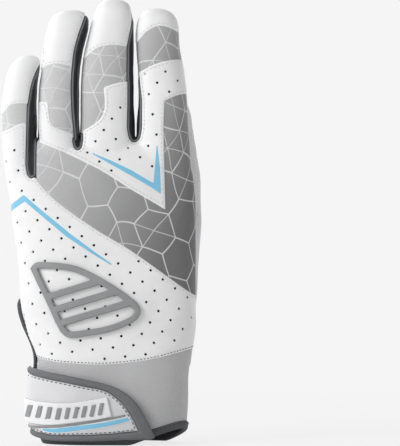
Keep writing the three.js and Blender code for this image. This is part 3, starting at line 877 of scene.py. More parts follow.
def flex_fabric():
    paint = Paint("flex_fabric_print_and_painted_shade", Roughness=0.75, Specular_IOR_Level=0.3)
    place = paint.place()
    across, depth, up = paint.parts(place)
    lean = paint.node("ShaderNodeClamp", None, {"Value": across / 0.03, "Min": -1.0, "Max": 1.0})
    round_side = across + (depth + 0.019) * lean
    warp = paint.node("ShaderNodeTexNoise", None, {"Vector": place, "Scale": 24, "Detail": 1}, "Color")
    warp_u, warp_v, _ = paint.parts(warp)
    u = round_side + (warp_u - 0.5) * FLEX_WARP + 0.004
    v = up + (warp_v - 0.5) * FLEX_WARP + 0.003
    inner, spokes, chances = honeycomb(paint, u * 0.985 - v * 0.17, u * 0.17 + v * 0.985, FLEX_CELL)

    def drawn_line(distance, half_width):
        return 1 - paint.node("ShaderNodeMapRange", {"interpolation_type": "SMOOTHSTEP"},
                              {"Value": distance, "From Min": half_width * 0.7, "From Max": half_width * 1.3})

    line = drawn_line(inner, FLEX_LINE)
    wanted = chances[0] > 0.5
    drawn = (wanted, wanted * (chances[1] > 0.35), wanted * (chances[2] > 0.35))
    for spoke, chance in zip(spokes, drawn):
        line = paint.maths("MAXIMUM", line, drawn_line(spoke, FLEX_LINE * 0.6) * chance * 0.85)
    weave = paint.node("ShaderNodeTexWave", {"wave_type": "BANDS", "bands_direction": "DIAGONAL"},
                       {"Vector": place, "Scale": 500, "Distortion": 0.6}, "Fac")
    # Painted shade: the ground runs from light at the left and top to dark at the right, as the key light
    # from the left falls off; mostly painted shade, partly the fabric's own fade.
    ground = paint.blend(1.15 + across * 9.5 - up * 4.7, shade("dadadb"), shade("757576"))
    fleck = paint.blend(paint.noise(900, 2) * 0.3, ground, shade("8e8e8f"))
    tint = paint.blend(line * 0.8, fleck, shade("e6e6e7"))
    height = weave * 0.6 + paint.noise(1800, 2) + line * 0.7
    paint.set(Base_Color=tint, Normal=paint.bump(height, 0.12 * MM, 0.5))
    return paint.material


def plain(name, colour, dark, roughness, scale, depth, strength=0.5):
    paint = Paint(name, Roughness=roughness)
    soft = paint.noise(scale / 12, 4)
    tint = paint.blend(soft, shade(dark), shade(colour))
    height = paint.noise(scale, 3) + paint.noise(scale * 3, 2) * 0.5
    paint.set(Base_Color=tint, Normal=paint.bump(height, depth * MM, strength))
    return paint.material


def knit(name, colour, dark, pitch, roughness=0.85):
    paint = Paint(name, Roughness=roughness, Specular_IOR_Level=0.25)
    place = paint.place()
    along = paint.node("ShaderNodeTexWave", {"wave_type": "BANDS", "bands_direction": "Z"},
                       {"Vector": place, "Scale": 0.31 / pitch, "Distortion": 1.2, "Detail": 2}, "Fac")
    over = paint.node("ShaderNodeTexWave", {"wave_type": "BANDS", "bands_direction": "X"},
                      {"Vector": place, "Scale": 0.31 / pitch, "Distortion": 0.8}, "Fac")
    height = along * over + paint.noise(2500, 2) * 0.4
    soft = paint.noise(90, 4)
    # The low places of the weave are painted darker than the loops' crowns, a painted shade; the soft noise
    # is the yarn's own uneven tone.
    tint = paint.blend(height * 0.5 + soft * 0.5, shade(dark), shade(colour))
    paint.set(Base_Color=tint, Normal=paint.bump(height, 0.25 * MM, 0.5))
    return paint.material


def side_paint():
    paint = Paint("side_fabric_with_painted_shade", Roughness=0.8, Specular_IOR_Level=0.3)
    height = paint.noise(1400, 3) + paint.noise(500, 2) * 0.6
    _, depth, _ = paint.parts(paint.place())
    # Painted shade: on the back half, recessed between the fingers, the walls are painted near black; towards
    # the palm they keep the knit's own mid-grey.
    less_shade_towards_palm = paint.node("ShaderNodeMapRange", None, {"Value": depth, "From Min": -0.003, "From Max": 0.005})
    soft = paint.noise(70, 4)
    ground = paint.blend(less_shade_towards_palm, paint.blend(soft, shade("1e1f21"), shade("2c2d30")),
                         paint.blend(soft, shade("66676a"), shade("7d7e81")))
    edge = paint.node("ShaderNodeAttribute", {"attribute_name": "edge"}, None, "Fac")
    # The rolled edges keep a lighter mid-grey, near the knit's own colour, beside the painted shade of the
    # middle.
    paint.set(Base_Color=paint.blend(edge * 0.8, ground, shade("97989a")),
              Normal=paint.bump(height, 0.12 * MM, 0.4))
    return paint.material


def palm_leather_paint():
    paint = Paint("palm_leather_with_painted_groove_shade", Roughness=0.62, Specular_IOR_Level=0.35)
    across, _, up = paint.parts(paint.place())
    sway = paint.maths("SINE", across * 95 + up * 12)
    rows = paint.maths("SINE", (up + sway * 0.006) * 3490)
    beads = paint.maths("SINE", (across + sway * 0.002) * 3900)
    height = (rows * 0.5 + 0.5) * (beads * 0.25 + 0.75)
    soft = paint.noise(70, 4)
    # The grooves between the embossed rows are painted darker than the crowns, a painted shade; the soft
    # noise is the leather's own uneven tone.
    tint = paint.blend(height * 0.45 + soft * 0.4, shade("d2d2d3"), shade("f4f4f4"))
    paint.set(Base_Color=tint, Normal=paint.bump(height + paint.noise(1500, 2) * 0.3, 0.3 * MM, 0.5))
    return paint.material


leather = white_leather()
fabric = flex_fabric()
knurled = palm_leather_paint()
smooth_leather = plain("smooth_leather_finish", "dcdcde", "cdcdcf", 0.5, 900, 0.1, 0.4)
side_knit = side_paint()
cuff_knit = knit("cuff_fabric_finish", "cdcdce", "bcbcbe", 0.9 * MM, 0.8)
binding_weave = knit("binding_finish", "67686b", "4e4f52", 0.7 * MM, 0.7)
strap_weave = knit("strap_binding_finish", "838486", "67686b", 0.7 * MM, 0.7)
rubber = plain("moulded_rubber_finish", "9a9b9c", "8b8c8d", 0.42, 1500, 0.05, 0.3)
film = plain("blue_film_finish", "8dcfec", "7ac3e6", 0.35, 1200, 0.05, 0.2)
lining_cloth = plain("lining_finish", "e4e4e4", "d6d6d6", 0.9, 1800, 0.1, 0.5)
strap_skin = plain("strap_face_finish", "e2e2e4", "d6d6d8", 0.5, 900, 0.1, 0.4)
pale_rubber = plain("pale_rubber_finish", "f4f4f5", "ececed", 0.45, 1400, 0.05, 0.3)
thread = plain("thread", "ececec", "dadada", 0.7, 3000, 0.05, 0.5)
dark_thread = plain("dark_thread", "3c3d40", "2c2d30", 0.7, 3000, 0.05, 0.5)


# Soft swell and creases of the leather, as heights over the form
def swell(amount, scale, phase):
    def rise(co):
        x, y, z = (co / scale).T
        return amount * (np.sin(x * 2.1 + phase) * np.sin(z * 1.7 + 1.3 * phase)
                         + 0.6 * np.sin(x * 3.7 - z * 2.9 + phase) * np.cos(y * 3.1 + phase)
                         + 0.4 * np.sin(z * 5.3 + x * 1.9 + 2 * phase)) / 2
    return rise


def crease(points, depth, width, toward):
    line = np.array([(at_x(column), at_z(row)) for column, row in points])

    def rise(co):
        flat = co[:, [0, 2]]
        nearest = np.full(len(flat), 1e9)
        along = np.zeros(len(flat))
        done = 0.0
        total = np.linalg.norm(np.diff(line, axis=0), axis=1).sum()
        for start, end in zip(line, line[1:]):
            run = end - start
            length = np.linalg.norm(run)
            share = np.clip(((flat - start) @ run) / (run @ run), 0, 1)
            away = np.linalg.norm(flat - start - share[:, None] * run, axis=1)
            closer = away < nearest
            nearest = np.where(closer, away, nearest)
            along = np.where(closer, (done + share * length) / total, along)
            done += length
        fade = np.clip(4 * along * (1 - along) * 1.6, 0, 1)
        side = np.clip(co[:, 1] * toward / (3 * MM), 0, 1)
        near = nearest / width
        return -depth * fade * side * (np.exp(-near ** 2) - 0.45 * np.exp(-((near - 1.8) / 0.8) ** 2))

    return rise


def fold(points, depth, width, toward=1):
    return crease(curved(points, 3), depth * MM, width * MM, toward)


SOFT_SWELL = swell(0.42 * MM, 17 * MM, 0.4)
THUMB_WEB_FOLD = fold(from_palm([(201, 184), (206, 181), (212, 174)]), 0.5, 2.6)
HAND_CREASES = [
    SOFT_SWELL,
    fold(from_palm([(243, 166), (262, 176), (290, 184), (322, 186)]), 0.55, 4.5),
    fold(from_palm([(246, 186), (262, 212), (274, 248), (277, 290)]), 0.7, 5.5),
    fold(from_palm([(283, 214), (312, 222), (346, 214), (366, 206)]), 0.5, 4.5),
    fold(from_palm([(226, 338), (262, 346), (318, 345), (350, 338)]), 0.45, 4),
    fold(from_palm([(300, 250), (330, 262), (362, 258)]), 0.4, 5),
    THUMB_WEB_FOLD,
    fold(from_palm([(203, 206), (208, 222), (213, 248)]), 0.55, 3.2),
    fold(from_palm([(212, 216), (216, 232), (216, 252)]), 0.4, 3),
    fold([(140, 81), (160, 79), (184, 80)], 0.4, 3), fold([(82, 76), (107, 74), (132, 76)], 0.4, 3),
    fold([(82, 112), (107, 110), (132, 112)], 0.35, 3), fold([(41, 93), (58, 91), (77, 93)], 0.4, 3),
    fold([(40, 124), (58, 122), (77, 124)], 0.35, 3), fold([(5, 121), (20, 119), (35, 121)], 0.35, 3),
    fold([(140, 49), (160, 47), (180, 49)], 0.3, 3), fold([(86, 42), (107, 40), (131, 42)], 0.3, 3),
    fold([(46, 54), (62, 52), (82, 54)], 0.3, 3),
    fold([(40, 96), (58, 99), (74, 97)], 0.28, 3, -1), fold([(84, 86), (104, 84), (126, 87)], 0.28, 3, -1),
    fold([(140, 56), (158, 52), (176, 55)], 0.25, 3, -1), fold([(84, 98), (96, 95), (104, 99)], 0.2, 2.6, -1),
    fold([(60, 172), (84, 186), (104, 205)], 0.4, 6, -1),
    fold([(168, 150), (178, 176), (186, 204)], 0.35, 5, -1),
    fold([(120, 214), (142, 222), (166, 232)], 0.35, 5, -1),
    fold([(150, 300), (170, 316), (190, 320)], 0.35, 5, -1),
    fold([(30, 338), (70, 346), (118, 345)], 0.3, 4, -1),
    fold([(130, 342), (160, 338), (188, 330)], 0.35, 4, -1),
]
hand_form = Form(
    [
        *[(table, HAND_DEPTH, 0, PALM_ROUNDNESS) for table in (HAND, WEB, LOW_WEB)],
        *[(table, FINGER_DEPTH, 0, FINGER_ROUNDNESS) for table in (PINKY, RING, MIDDLE, INDEX)],
        (THUMB[:8], THUMB_DEPTH, THUMB_FORWARD, FINGER_ROUNDNESS),
    ],
    HAND_CREASES,
)
thumb_form = Form(
    [(THUMB[2:], THUMB_DEPTH, THUMB_FORWARD, FINGER_ROUNDNESS)],
    [SOFT_SWELL, THUMB_WEB_FOLD, fold([(160, 132), (176, 128), (193, 131)], 0.4, 3),
     fold([(160, 158), (176, 156), (198, 160)], 0.35, 3)],
)

THUMB_CUT = 14.2 * MM
NO_THUMB = outside(both(
    inside([(156.5, 60), (215, 60), (215, 199), (156.5, 199)]), palm_side(THUMB_CUT),
))
THUMB_SIDE = PALM_EDGE[1:] + [(215, 366), (230, 340), (230, 100), (157, 100)]
thumb_side = both(inside(THUMB_SIDE), below_row(152))

# Vent at the little finger's side of the wrist, an opening through leather and palm
VENT_HOLE = from_palm(curved([
    (360.5, 362), (360.5, 345), (363.5, 324), (370, 309), (377, 303), (384, 302), (384, 316), (378, 328),
    (371, 339), (367, 350), (366, 362),
], 3))
vent_hole = both(inside(VENT_HOLE), palm_side(-1.5 * MM))

# Blue stripes, as they are traced on the back
UPPER_STRIPE = [
    (156.9, 146), (157.7, 146), (160, 168), (161.2, 194.5), (152, 188), (130, 175.3), (93, 154.6),
    (93.6, 153.8), (112, 161.3), (132, 170.8), (153.6, 183.6), (155.2, 165),
]
LOWER_STRIPE = [
    (-6, 228), (2, 214), (13, 204), (25, 195), (40, 208), (70, 232.6), (95, 251.2), (113, 263.8),
    (112, 264.8),
    (93, 253.2), (68, 236.8), (40, 213.5), (26, 201.5), (14, 210), (5, 221), (-2, 234),
]
BADGE = curved([
    (33, 268), (38, 262.5), (50, 262), (68, 263.5), (84, 268), (110, 282), (134, 299), (141, 309), (137, 319),
    (122, 327), (106, 332), (88, 335), (72, 336.5), (64, 332), (58, 322), (33, 268),
], 3)[:-1]

# Perforations on a slanting grid over the white back panels
HOLE_RADIUS = 0.76 * MM


def hole_grid(field, clear):
    found = []
    for i in range(-30, 40):
        for j in range(-30, 40):
            column = 83 + 12 * i - 8.2 * j
            row = 236 + 9 * i + 11.2 * j
            point, _ = hand_form.on(column, row, 1)
            if point is None or point.y > -1 * MM:
                continue
            if field(np.array([point]))[0] > clear:
                found.append(point)
    return found


lower_field = both(inside(LOWER_BACK), back_side(), outside(vent_hole))
knuckle_field = both(inside(KNUCKLE), back_side())
STITCH_CLEAR = 2.5 * MM
STRIPE_LAP = 1.2 * MM
plain_ground = both(*[
    grown(outside(inside(stripe)), STRIPE_LAP) for stripe in (UPPER_STRIPE, LOWER_STRIPE)
])
lower_holes = hole_grid(both(lower_field, plain_ground), STITCH_CLEAR)
knuckle_holes = hole_grid(both(knuckle_field, plain_ground), STITCH_CLEAR)

spread(
    "back_leather",
    panel_mesh(hand_form, lower_field, LEATHER_TOP, holes=(lower_holes, HOLE_RADIUS), groove=0.15 * MM),
    leather, LEATHER_WALL, ["hand", "pinky_root", "pinky_top"],
    {"hand": ["lower_back_panel"], "pinky_root": ["pinky_base_back_panel"]}, "white_leather",
)
spread(
    "knuckle_leather",
    panel_mesh(hand_form, knuckle_field, LEATHER_TOP, holes=(knuckle_holes, HOLE_RADIUS), groove=0.15 * MM),
    leather, LEATHER_WALL, ["hand", "ring_root", "ring_top", "middle_root", "middle_top", "index_top"],
    {"hand": ["knuckle_panel"], "ring_root": ["ring_base_back_panel"],
     "middle_root": ["middle_base_back_panel"], "index_top": ["index_tip_back_panel"]}, "white_leather",
)
band_field = both(grown(inside(BAND), 1.2 * MM), back_side(SIDE_SEAM))
spread(
    "band_flex", panel_mesh(hand_form, band_field, FABRIC_TOP, roll=0.6 * MM, drop_height=0.4 * MM),
    fabric, FABRIC_WALL, ["hand", "ring_root", "index_top"], {"hand": ["flex_band"]}, "flex_fabric",
)

# Fingers: caps and flex panels
CAPS = {
    "pinky": curved([(-10, 124), (3, 114), (14, 105), (28.5, 104.5)], 4)
    + curved([(28.8, 104), (30.5, 93), (33, 82), (37, 71), (41, 62), (42, 50)], 3) + [(-10, 40)],
    "ring": curved([(28, 82), (39, 72), (49, 66.5), (60, 65), (72.5, 67.5)], 4)
    + curved([(72.8, 67), (74.5, 52), (79, 35), (84, 20), (86, 10), (84, 0)], 3) + [(28, 0)],
    "middle": curved([(70, 78), (84, 60), (97, 50), (112, 46.3), (127, 47.5)], 4)
    + curved([(127.3, 47), (129.5, 36), (132, 22), (131, 9), (126, -10)], 3) + [(70, -10)],
    "index": curved([(128, 52), (139, 41), (149, 31.5), (162, 27), (177, 32), (195, 42)], 4)
    + [(195, 0), (132, 0)],
}
FLEXES = {
    "pinky": [(-10, 112), (14, 98), (28.5, 99), (28, 112), (27.5, 128), (-10, 148)],
    "ring": [(28, 76), (49, 60), (73.5, 61), (72.3, 75), (71.8, 90), (72.5, 110), (75, 139), (48, 130),
             (34, 108), (28, 100)],
    "middle": [(70, 72), (97, 45), (127.6, 43), (127.5, 60), (127.2, 88), (108, 92), (108, 116), (84, 135),
               (79, 132), (79, 100), (70, 90)],
    "index": [(132, 42), (139, 38), (148, 26), (177, 28), (200, 38), (200, 64), (140, 78), (132, 78)],
}
FINGER_ZONES = {
    "pinky": (["pinky_top"], {"pinky_top": ["pinky_base_flex_panel", "pinky_tip_flex_panel"]}),
    "ring": (["ring_root", "ring_top"],
             {"ring_root": ["ring_base_flex_panel"], "ring_top": ["ring_tip_flex_panel"]}),
    "middle": (["middle_root", "middle_top"],
               {"middle_root": ["middle_base_flex_panel"], "middle_top": ["middle_tip_flex_panel"]}),
    "index": (["index_top"], {"index_top": ["index_tip_flex_panel"]}),
}
cap_fields = {}
for finger, points in CAPS.items():
    field = both(inside(points), inside(GAPS[finger]), back_side())
    cap_fields[finger] = field
    spread(
        "cap", panel_mesh(hand_form, field, LEATHER_TOP, groove=0.12 * MM), leather, LEATHER_WALL,
        [f"{finger}_top"], {f"{finger}_top": [f"{finger}_tip_cap"]}, "white_leather",
    )
flex_fields = []
for finger, points in FLEXES.items():
    zones, nodes = FINGER_ZONES[finger]
    field = both(inside(points), inside(GAPS[finger]), back_side())
    flex_fields.append(field)
    spread(
        "flex", panel_mesh(hand_form, field, FABRIC_TOP, roll=0.6 * MM, drop_height=0.4 * MM), fabric,
        FABRIC_WALL, zones, nodes, "flex_fabric",
    )


# Palm leather: the hand and one strip up each finger, narrower where a side wall shows beside it
def finger_strip(table, left_share, right_share, top_row, bottom_row):
    left_side, right_side = [], []
    for row, left, right, _, _ in curved(table):
        if not top_row <= row <= bottom_row:
            continue
        width = right - left
        left_side.append((left + width * left_share, row))
        right_side.append((right - width * right_share, row))
    return left_side + right_side[::-1]


FRONTS = {
    "pinky": finger_strip(PINKY, -0.6, 0.1, 60, 200),
    "ring": finger_strip(RING, 0.22, 0.03, 16, 200),
    "middle": finger_strip(MIDDLE, 0.22, 0.03, 4, 195),
    "index": finger_strip(INDEX, 0.24, -0.5, 14, 200),
}
PALM = (
    [(-20, 168), (32, 168), (33, 176), (36, 178), (46, 172), (47, 166), (74, 150), (79, 146.5), (90, 144),
     (92, 146), (128, 144), (134, 143.5), (139, 142), (150, 142), (155, 142)]
    + PALM_EDGE[1:-2] + [(177, 366), (176, 359.5)] + WRIST_PALM[2:] + [(-20, 360)]
)
palm_field = both(
    either(inside(PALM), *[both(inside(points), inside(GAPS[f])) for f, points in FRONTS.items()]),
    palm_side(SIDE_SEAM + 0.2 * MM), NO_THUMB, outside(vent_hole), outside(thumb_side),
)
spread(
    "palm_skin", panel_mesh(hand_form, palm_field, LEATHER_TOP, groove=0.15 * MM), knurled, LEATHER_WALL,
    ["hand", *ZONES],
    {"hand": ["palm_leather"], "pinky_root": ["pinky_base_front"], "pinky_top": ["pinky_tip_front"],
     "ring_root": ["ring_base_front"], "ring_top": ["ring_tip_front"], "middle_root": ["middle_base_front"],
     "middle_top": ["middle_tip_front"], "index_top": ["index_tip_front"]}, "palm_leather",
)


def floor_height(co):
    """Height over the cuff's bottom edge, which rises on the thumb side."""
    slope = 12.4 / 33 * (co[:, 0] - 28 * MM) - 9 / 41 * co[:, 1]
    return co[:, 2] - np.maximum(slope, 0)


wrist_field = either(
    both(outside(inside([(-30, -60), (230, -60)] + WRIST_BACK[::-1])), back_side(0)),
    both(
        outside(inside([(-30, -60), (230, -60)] + sorted(WRIST_PALM, key=lambda spot: -spot[0]))),
        palm_side(0),
    ),
)

# Knit under everything, which shows as side walls between the fingers, with its edges rolled up; its back
# half is painted dark as shade
under_field = both(below_row(-60), above_row(356), NO_THUMB)
under = hand_form.bm.copy()
cut_line(under, under_field, 0.0, drop=True)
under.normal_update()
covered = either(
    lower_field, knuckle_field, palm_field, band_field, grown(wrist_field, 3 * MM),
    both(thumb_side, palm_side(SIDE_SEAM)), *cap_fields.values(), *flex_fields,
)
for level in (-0.3, -0.75, -1.2):
    cut_line(under, covered, level * MM)
under.normal_update()
apart = -values_of(under, covered)
away = np.clip(apart / (0.7 * MM), 0, 1)
edge = np.exp(-((apart - 0.75 * MM) / (0.4 * MM)) ** 2)
lift = UNDER_TOP + (WALL_TOP - UNDER_TOP) * away * away * (3 - 2 * away) + 0.2 * MM * edge
edge_layer = under.verts.layers.float.new("edge")
for v, height, share in zip(under.verts, lift, edge):
    v.co += v.normal * float(height)
    v[edge_layer] = float(share)
spread(
    "side_knit", under, side_knit, FABRIC_WALL, ["hand", *ZONES],
    {"hand": ["index_base_side_wall", "ring_base_gusset"], "pinky_root": ["pinky_base_side_wall"],
     "pinky_top": ["pinky_tip_side_wall"],
     "ring_root": ["ring_base_side_wall_left", "ring_base_side_wall_right"],
     "ring_top": ["ring_tip_side_wall"],
     "middle_root": ["middle_base_side_wall_left", "middle_base_side_wall_right"],
     "middle_top": ["middle_tip_side_wall"], "index_top": ["index_tip_side_wall"]}, "side_fabric",
)

# Closed inner skins of the fingers, which close each finger off from its neighbours when it curls
CORE_GROWTH = -1.5 * MM
for finger, table, splits in (
    ("pinky", PINKY, (142, 181)), ("ring", RING, (115, 156)), ("middle", MIDDLE, (105, 153)),
    ("index", INDEX, (93,)),
):
    core = bmesh.new()
    add_loft(core, table, FINGER_DEPTH, 0, FINGER_ROUNDNESS, CORE_GROWTH)
    bmesh.ops.recalc_face_normals(core, faces=core.faces)
    rows = (-60, *splits, 198)
    for part, top, bottom in zip(("top", "root", "base"), rows, rows[1:]):
        place = f"{finger}_{part}"
        joint = ZONES[place][1] if place in ZONES else None
        finished(
            f"core_{place}", cut_out(core, both(below_row(top), above_row(bottom))), side_knit,
            body=None if joint else "hand", joint=joint, slot="side_fabric",
        )
    core.free()

# Thumb: its base on the hand, and what lies above the fold
thumb_end = both(above_row(199.9), palm_side(THUMB_CUT))
thumb_base_field = both(thumb_side, palm_side(SIDE_SEAM + 0.2 * MM))


def beyond_slant(co):
    """Palm side of a plane that leans forward down the thumb's base, and none of what lies over the fold."""
    over_fold = np.clip(co[:, 2] - at_z(201), 0, 1 * MM)
    return co[:, 1] - 9 * MM - 0.45 * (at_z(200) - co[:, 2]) - 7 * over_fold


base_knurled = both(
    inside(from_palm([
        (214, 185), (209, 195), (206, 201), (204, 214), (201, 232), (196, 252), (160, 252), (160, 185),
    ])),
    beyond_slant,
)
for name, field, material, slot in (
    ("thumb_base", both(thumb_base_field, outside(base_knurled)), smooth_leather, "smooth_leather"),
    ("thumb_base_knurled", both(thumb_base_field, grown(base_knurled, -0.1 * MM)), knurled, "palm_leather"),
):
    bm = panel_mesh(hand_form, field, LEATHER_TOP)
    cut_line(bm, outside(thumb_end), 0.0, drop=True)
    finished(name, bm, material, LEATHER_WALL, body="hand", nodes=["thumb_base_panel"], slot=slot)
THUMB_SEAM = from_palm([
    (232, 60), (224, 88), (223, 105), (223.5, 125), (220, 155), (216, 178), (213, 187), (206, 202),
])
KNURLED_THUMB = THUMB_SEAM + [(230, 200), (230, 40)]
INSERT = from_palm([(220, 156), (250, 155), (250, 184), (240, 184), (216, 178)])
thumb_joint = joint_between("hand", "thumb", 178, 186, 13)
above_fold = above_row(200)
knurled_thumb = either(inside(KNURLED_THUMB), both(back_side(THUMB_FORWARD - 0.3 * MM), below_row(0)))
back_thumb = outside(grown(knurled_thumb, 0.1 * MM))
insert_field = both(inside(INSERT), back_thumb)


def thumb_panel(name, field, material, slot, nodes, top=LEATHER_TOP, wall=LEATHER_WALL, roll=ROLL,
                drop=ROLL):
    bm = panel_mesh(thumb_form, field, top, roll, drop)
    cut_line(bm, above_fold, 0.0, drop=True)
    finished(name, bm, material, wall, joint=thumb_joint, nodes=nodes, slot=slot)


smooth_side = both(back_thumb, outside(grown(insert_field, -0.1 * MM)))
thumb_panel("thumb_knurled", knurled_thumb, knurled, "palm_leather", ["thumb_front"])
thumb_panel("thumb_smooth", smooth_side, smooth_leather, "smooth_leather", ["thumb_back"])
thumb_panel(
    "thumb_flex", both(grown(insert_field, 1 * MM), back_thumb), side_knit, "flex_fabric",
    ["thumb_flex_insert"], FABRIC_TOP, FABRIC_WALL, 0.6 * MM, 0.4 * MM,
)
thumb_under = thumb_form.bm.copy()
cut_line(thumb_under, above_row(199.5), 0.0, drop=True)
thumb_under.normal_update()
for v in thumb_under.verts:
    v.co += v.normal * UNDER_TOP
finished("thumb_knit", thumb_under, side_knit, FABRIC_WALL, joint=thumb_joint, slot="side_fabric")

# Cuff
cuff_field = both(wrist_field, grown(floor_height, -1.5 * MM))
finished(
    "cuff",
    panel_mesh(hand_form, grown(cuff_field, 1.0 * MM), FABRIC_TOP + 0.1 * MM, roll=0.8 * MM),
    cuff_knit, 1.2 * MM, body="hand", nodes=["cuff_back", "cuff_palm"], slot="cuff_fabric",
)

# Binding folded round the cuff's bottom edge
BINDING_HEIGHT = 2.25 * MM
rim, _ = max(contours(hand_form, floor_height, BINDING_HEIGHT), key=lambda found: len(found[0]))
rim_spots = [(p - n * 0.75 * MM, n) for p, n in evenly(rim, 2.4 * MM, True)]
rim_bm = bmesh.new()
tube(rim_bm, rim_spots, BINDING_HEIGHT, 1.7 * MM, sides=16, closed=True, squareness=3.2)
finished("rim_binding", rim_bm, binding_weave, body="hand", nodes=["cuff_binding"], slot="binding", sharp=180)
sew(hand_form, floor_height, 1.0 * MM, inset=3.5 * MM, group="rim_thread", pitch=2.6 * MM)
make_stitches("rim_thread", dark_thread, body="hand")

# Vent binding, a rolled edge that bulges out round the opening
VENT_ROUTE = from_palm(curved([
    (360.5, 371), (359.5, 354), (361, 340), (364.5, 322), (371.5, 307), (378, 301.5), (381, 306), (380, 315),
    (375.5, 326.5), (369, 336.5), (365, 349), (364.4, 371),
], 4))
VENT_DEPTHS = np.interp(
    np.linspace(0, 1, len(VENT_ROUTE)), [0, 0.12, 0.3, 0.45, 0.52, 0.6, 0.75, 0.9, 1],
    [9, 9.5, 8, 4.5, 1.5, -0.5, 0, 2, 4],
)
vent_spots = []
for (column, row), depth in zip(VENT_ROUTE, VENT_DEPTHS):
    wanted = Vector((at_x(column), depth * MM, at_z(row)))
    point, normal, _, _ = hand_form.tree.find_nearest(wanted)
    vent_spots.append((wanted.lerp(point + normal * 0.4 * MM, 0.55), normal))
vent_bm = bmesh.new()
tube(vent_bm, vent_spots, 1.75 * MM, 1.1 * MM, sides=14)
finished("vent_edge", vent_bm, binding_weave, body="hand", nodes=["vent_binding"], slot="binding", sharp=180)

# Welded stripes on the leather
FILM_TOP = LEATHER_TOP + 0.16 * MM
for name, points, node in (
    ("stripe_high", UPPER_STRIPE, "upper_stripe"), ("stripe_low", LOWER_STRIPE, "lower_stripe"),
):
    field = both(inside(points), back_side())
    finished(
        name, panel_mesh(hand_form, field, FILM_TOP, roll=0.25 * MM, drop_height=0.12 * MM, fine=1),
        film, 0.25 * MM, body="hand", nodes=[node], slot="blue_film",
    )

# Moulded pad: a raised rim and slanted ribs with the leather showing between them
PAD_TOP = 2.5 * MM
PAD_RIM = 3.4 * MM
RIB_SLOPE = -0.3
RIB_CORNERS = ((20, -3.6), (160, -3.6), (160, 3.6), (20, 3.6))
RIBS = [
    [(column, row + RIB_SLOPE * (column - 80) + side) for column, side in RIB_CORNERS]
    for row in (287, 302, 317)
]
pad_outline = inside(BADGE)


def pad_rim(co):
    return np.minimum(pad_outline(co), PAD_RIM - pad_outline(co))


pad_ribs = either(*[inside(rib) for rib in RIBS])
pad_field = both(either(pad_rim, both(pad_ribs, pad_outline)), back_side())
finished(
    "back_pad", panel_mesh(hand_form, pad_field, PAD_TOP, roll=0.8 * MM, fine=1), rubber, 1.9 * MM,
    body="hand", nodes=["moulded_pad"], slot="moulded_rubber",
)

# Wrist strap with its binding, bar, stripe and fastener pads, and how high each stands over the hand's form
STRAP_TOP = 4.2 * MM
STRAP_EDGE_TOP = 5.0 * MM
BAR_TOP = 5.6 * MM
BAR_RIB_TOP = 6.2 * MM
RIDGE_TOP = 4.8 * MM
STRIPE_RIM_TOP = 4.5 * MM
STRAP_STRIPE_TOP = 4.62 * MM
HOOK_TOP = 2.2 * MM
LOOP_TOP = 1.1 * MM
ANCHOR_FACE_TOP = 3.6 * MM
ANCHOR_EDGE_TOP = 4.1 * MM
STRAP_UPPER = curved([
    (-20, 362), (20, 364), (33, 366), (50, 370), (70, 374), (90, 378), (107, 382), (121, 387.5), (131.5, 395),
    (140, 405.5), (148, 419), (154, 433),
], 3)
STRAP_LOWER = curved([(150, 435.5), (120, 436), (80, 437), (55, 436), (40, 432), (20, 427), (-20, 424)], 3)
FACE_UPPER = curved([
    (-20, 369), (20, 371), (33, 373), (50, 377.5), (70, 381.5), (90, 385.5), (104, 388.5), (114, 393.5),
    (123, 401.5), (131, 412), (139, 427),
], 3)
FACE_LOWER = curved([(139, 427), (100, 430.5), (60, 431), (42, 427), (20, 422), (-20, 419)], 3)
STRAP_END = 3 * MM
strap_outline = both(inside(STRAP_UPPER + STRAP_LOWER), back_side(STRAP_END))
face_outline = both(inside(FACE_UPPER + FACE_LOWER), back_side(STRAP_END))
finished(
    "strap_face", panel_mesh(hand_form, face_outline, STRAP_TOP, roll=1.2 * MM, fine=1),
    strap_skin, 1.5 * MM, body="strap", nodes=["wrist_strap"], slot="cuff_fabric",
)
edge_field = both(strap_outline, outside(grown(face_outline, 0.2 * MM)))
finished(
    "strap_edge",
    panel_mesh(hand_form, edge_field, STRAP_EDGE_TOP, roll=1.7 * MM, drop_height=1.5 * MM, fine=1),
    strap_weave, 2.2 * MM, body="strap", nodes=["strap_binding"], slot="binding",
)
sew(hand_form, face_outline, STRAP_TOP + 0.05 * MM, inset=0.9 * MM, keep=back_side(-1 * MM),
    group="strap_thread", pitch=2.4 * MM, width=0.6 * MM)
make_stitches("strap_thread", dark_thread, body="strap")
BAR = (
    curved([(-20, 392), (15, 395.5), (30, 398), (60, 400.5), (90, 398), (109, 395)], 3)
    + curved([(113, 413), (100, 416), (70, 420), (50, 421), (35, 419), (15, 415), (-20, 412)], 3)
)
bar_field = both(inside(BAR), back_side(STRAP_END))
finished(
    "bar_plate", panel_mesh(hand_form, bar_field, BAR_TOP, roll=0.7 * MM, drop_height=0.7 * MM, fine=2),
    pale_rubber, 1.2 * MM, body="strap", nodes=["pull_bar"], slot="moulded_rubber",
)
RIB_COLUMNS = range(36, 104, 8)
RIB_ROWS = np.interp(RIB_COLUMNS, [30, 60, 90, 108], [408.5, 410.5, 408, 405])
BAR_RIBS = [
    [(x + 2.2, y - 5.6), (x + 6.2, y - 5.6), (x + 3.8, y + 5.6), (x - 0.2, y + 5.6)]
    for x, y in zip(RIB_COLUMNS, RIB_ROWS)
]
rib_field = both(either(*[inside(rib) for rib in BAR_RIBS]), back_side(STRAP_END))
finished(
    "bar_ribs", panel_mesh(hand_form, rib_field, BAR_RIB_TOP, roll=0.4 * MM, drop_height=0.5 * MM, fine=2),
    rubber, 0.9 * MM, body="strap", slot="moulded_rubber",
)
RIDGE = curved([(-20, 416.5), (15, 419.6), (40, 422.3), (80, 420), (126, 411.2)], 3) + curved(
    [(126.4, 413), (80, 422), (40, 424.3), (15, 421.6), (-20, 418.5)], 3)
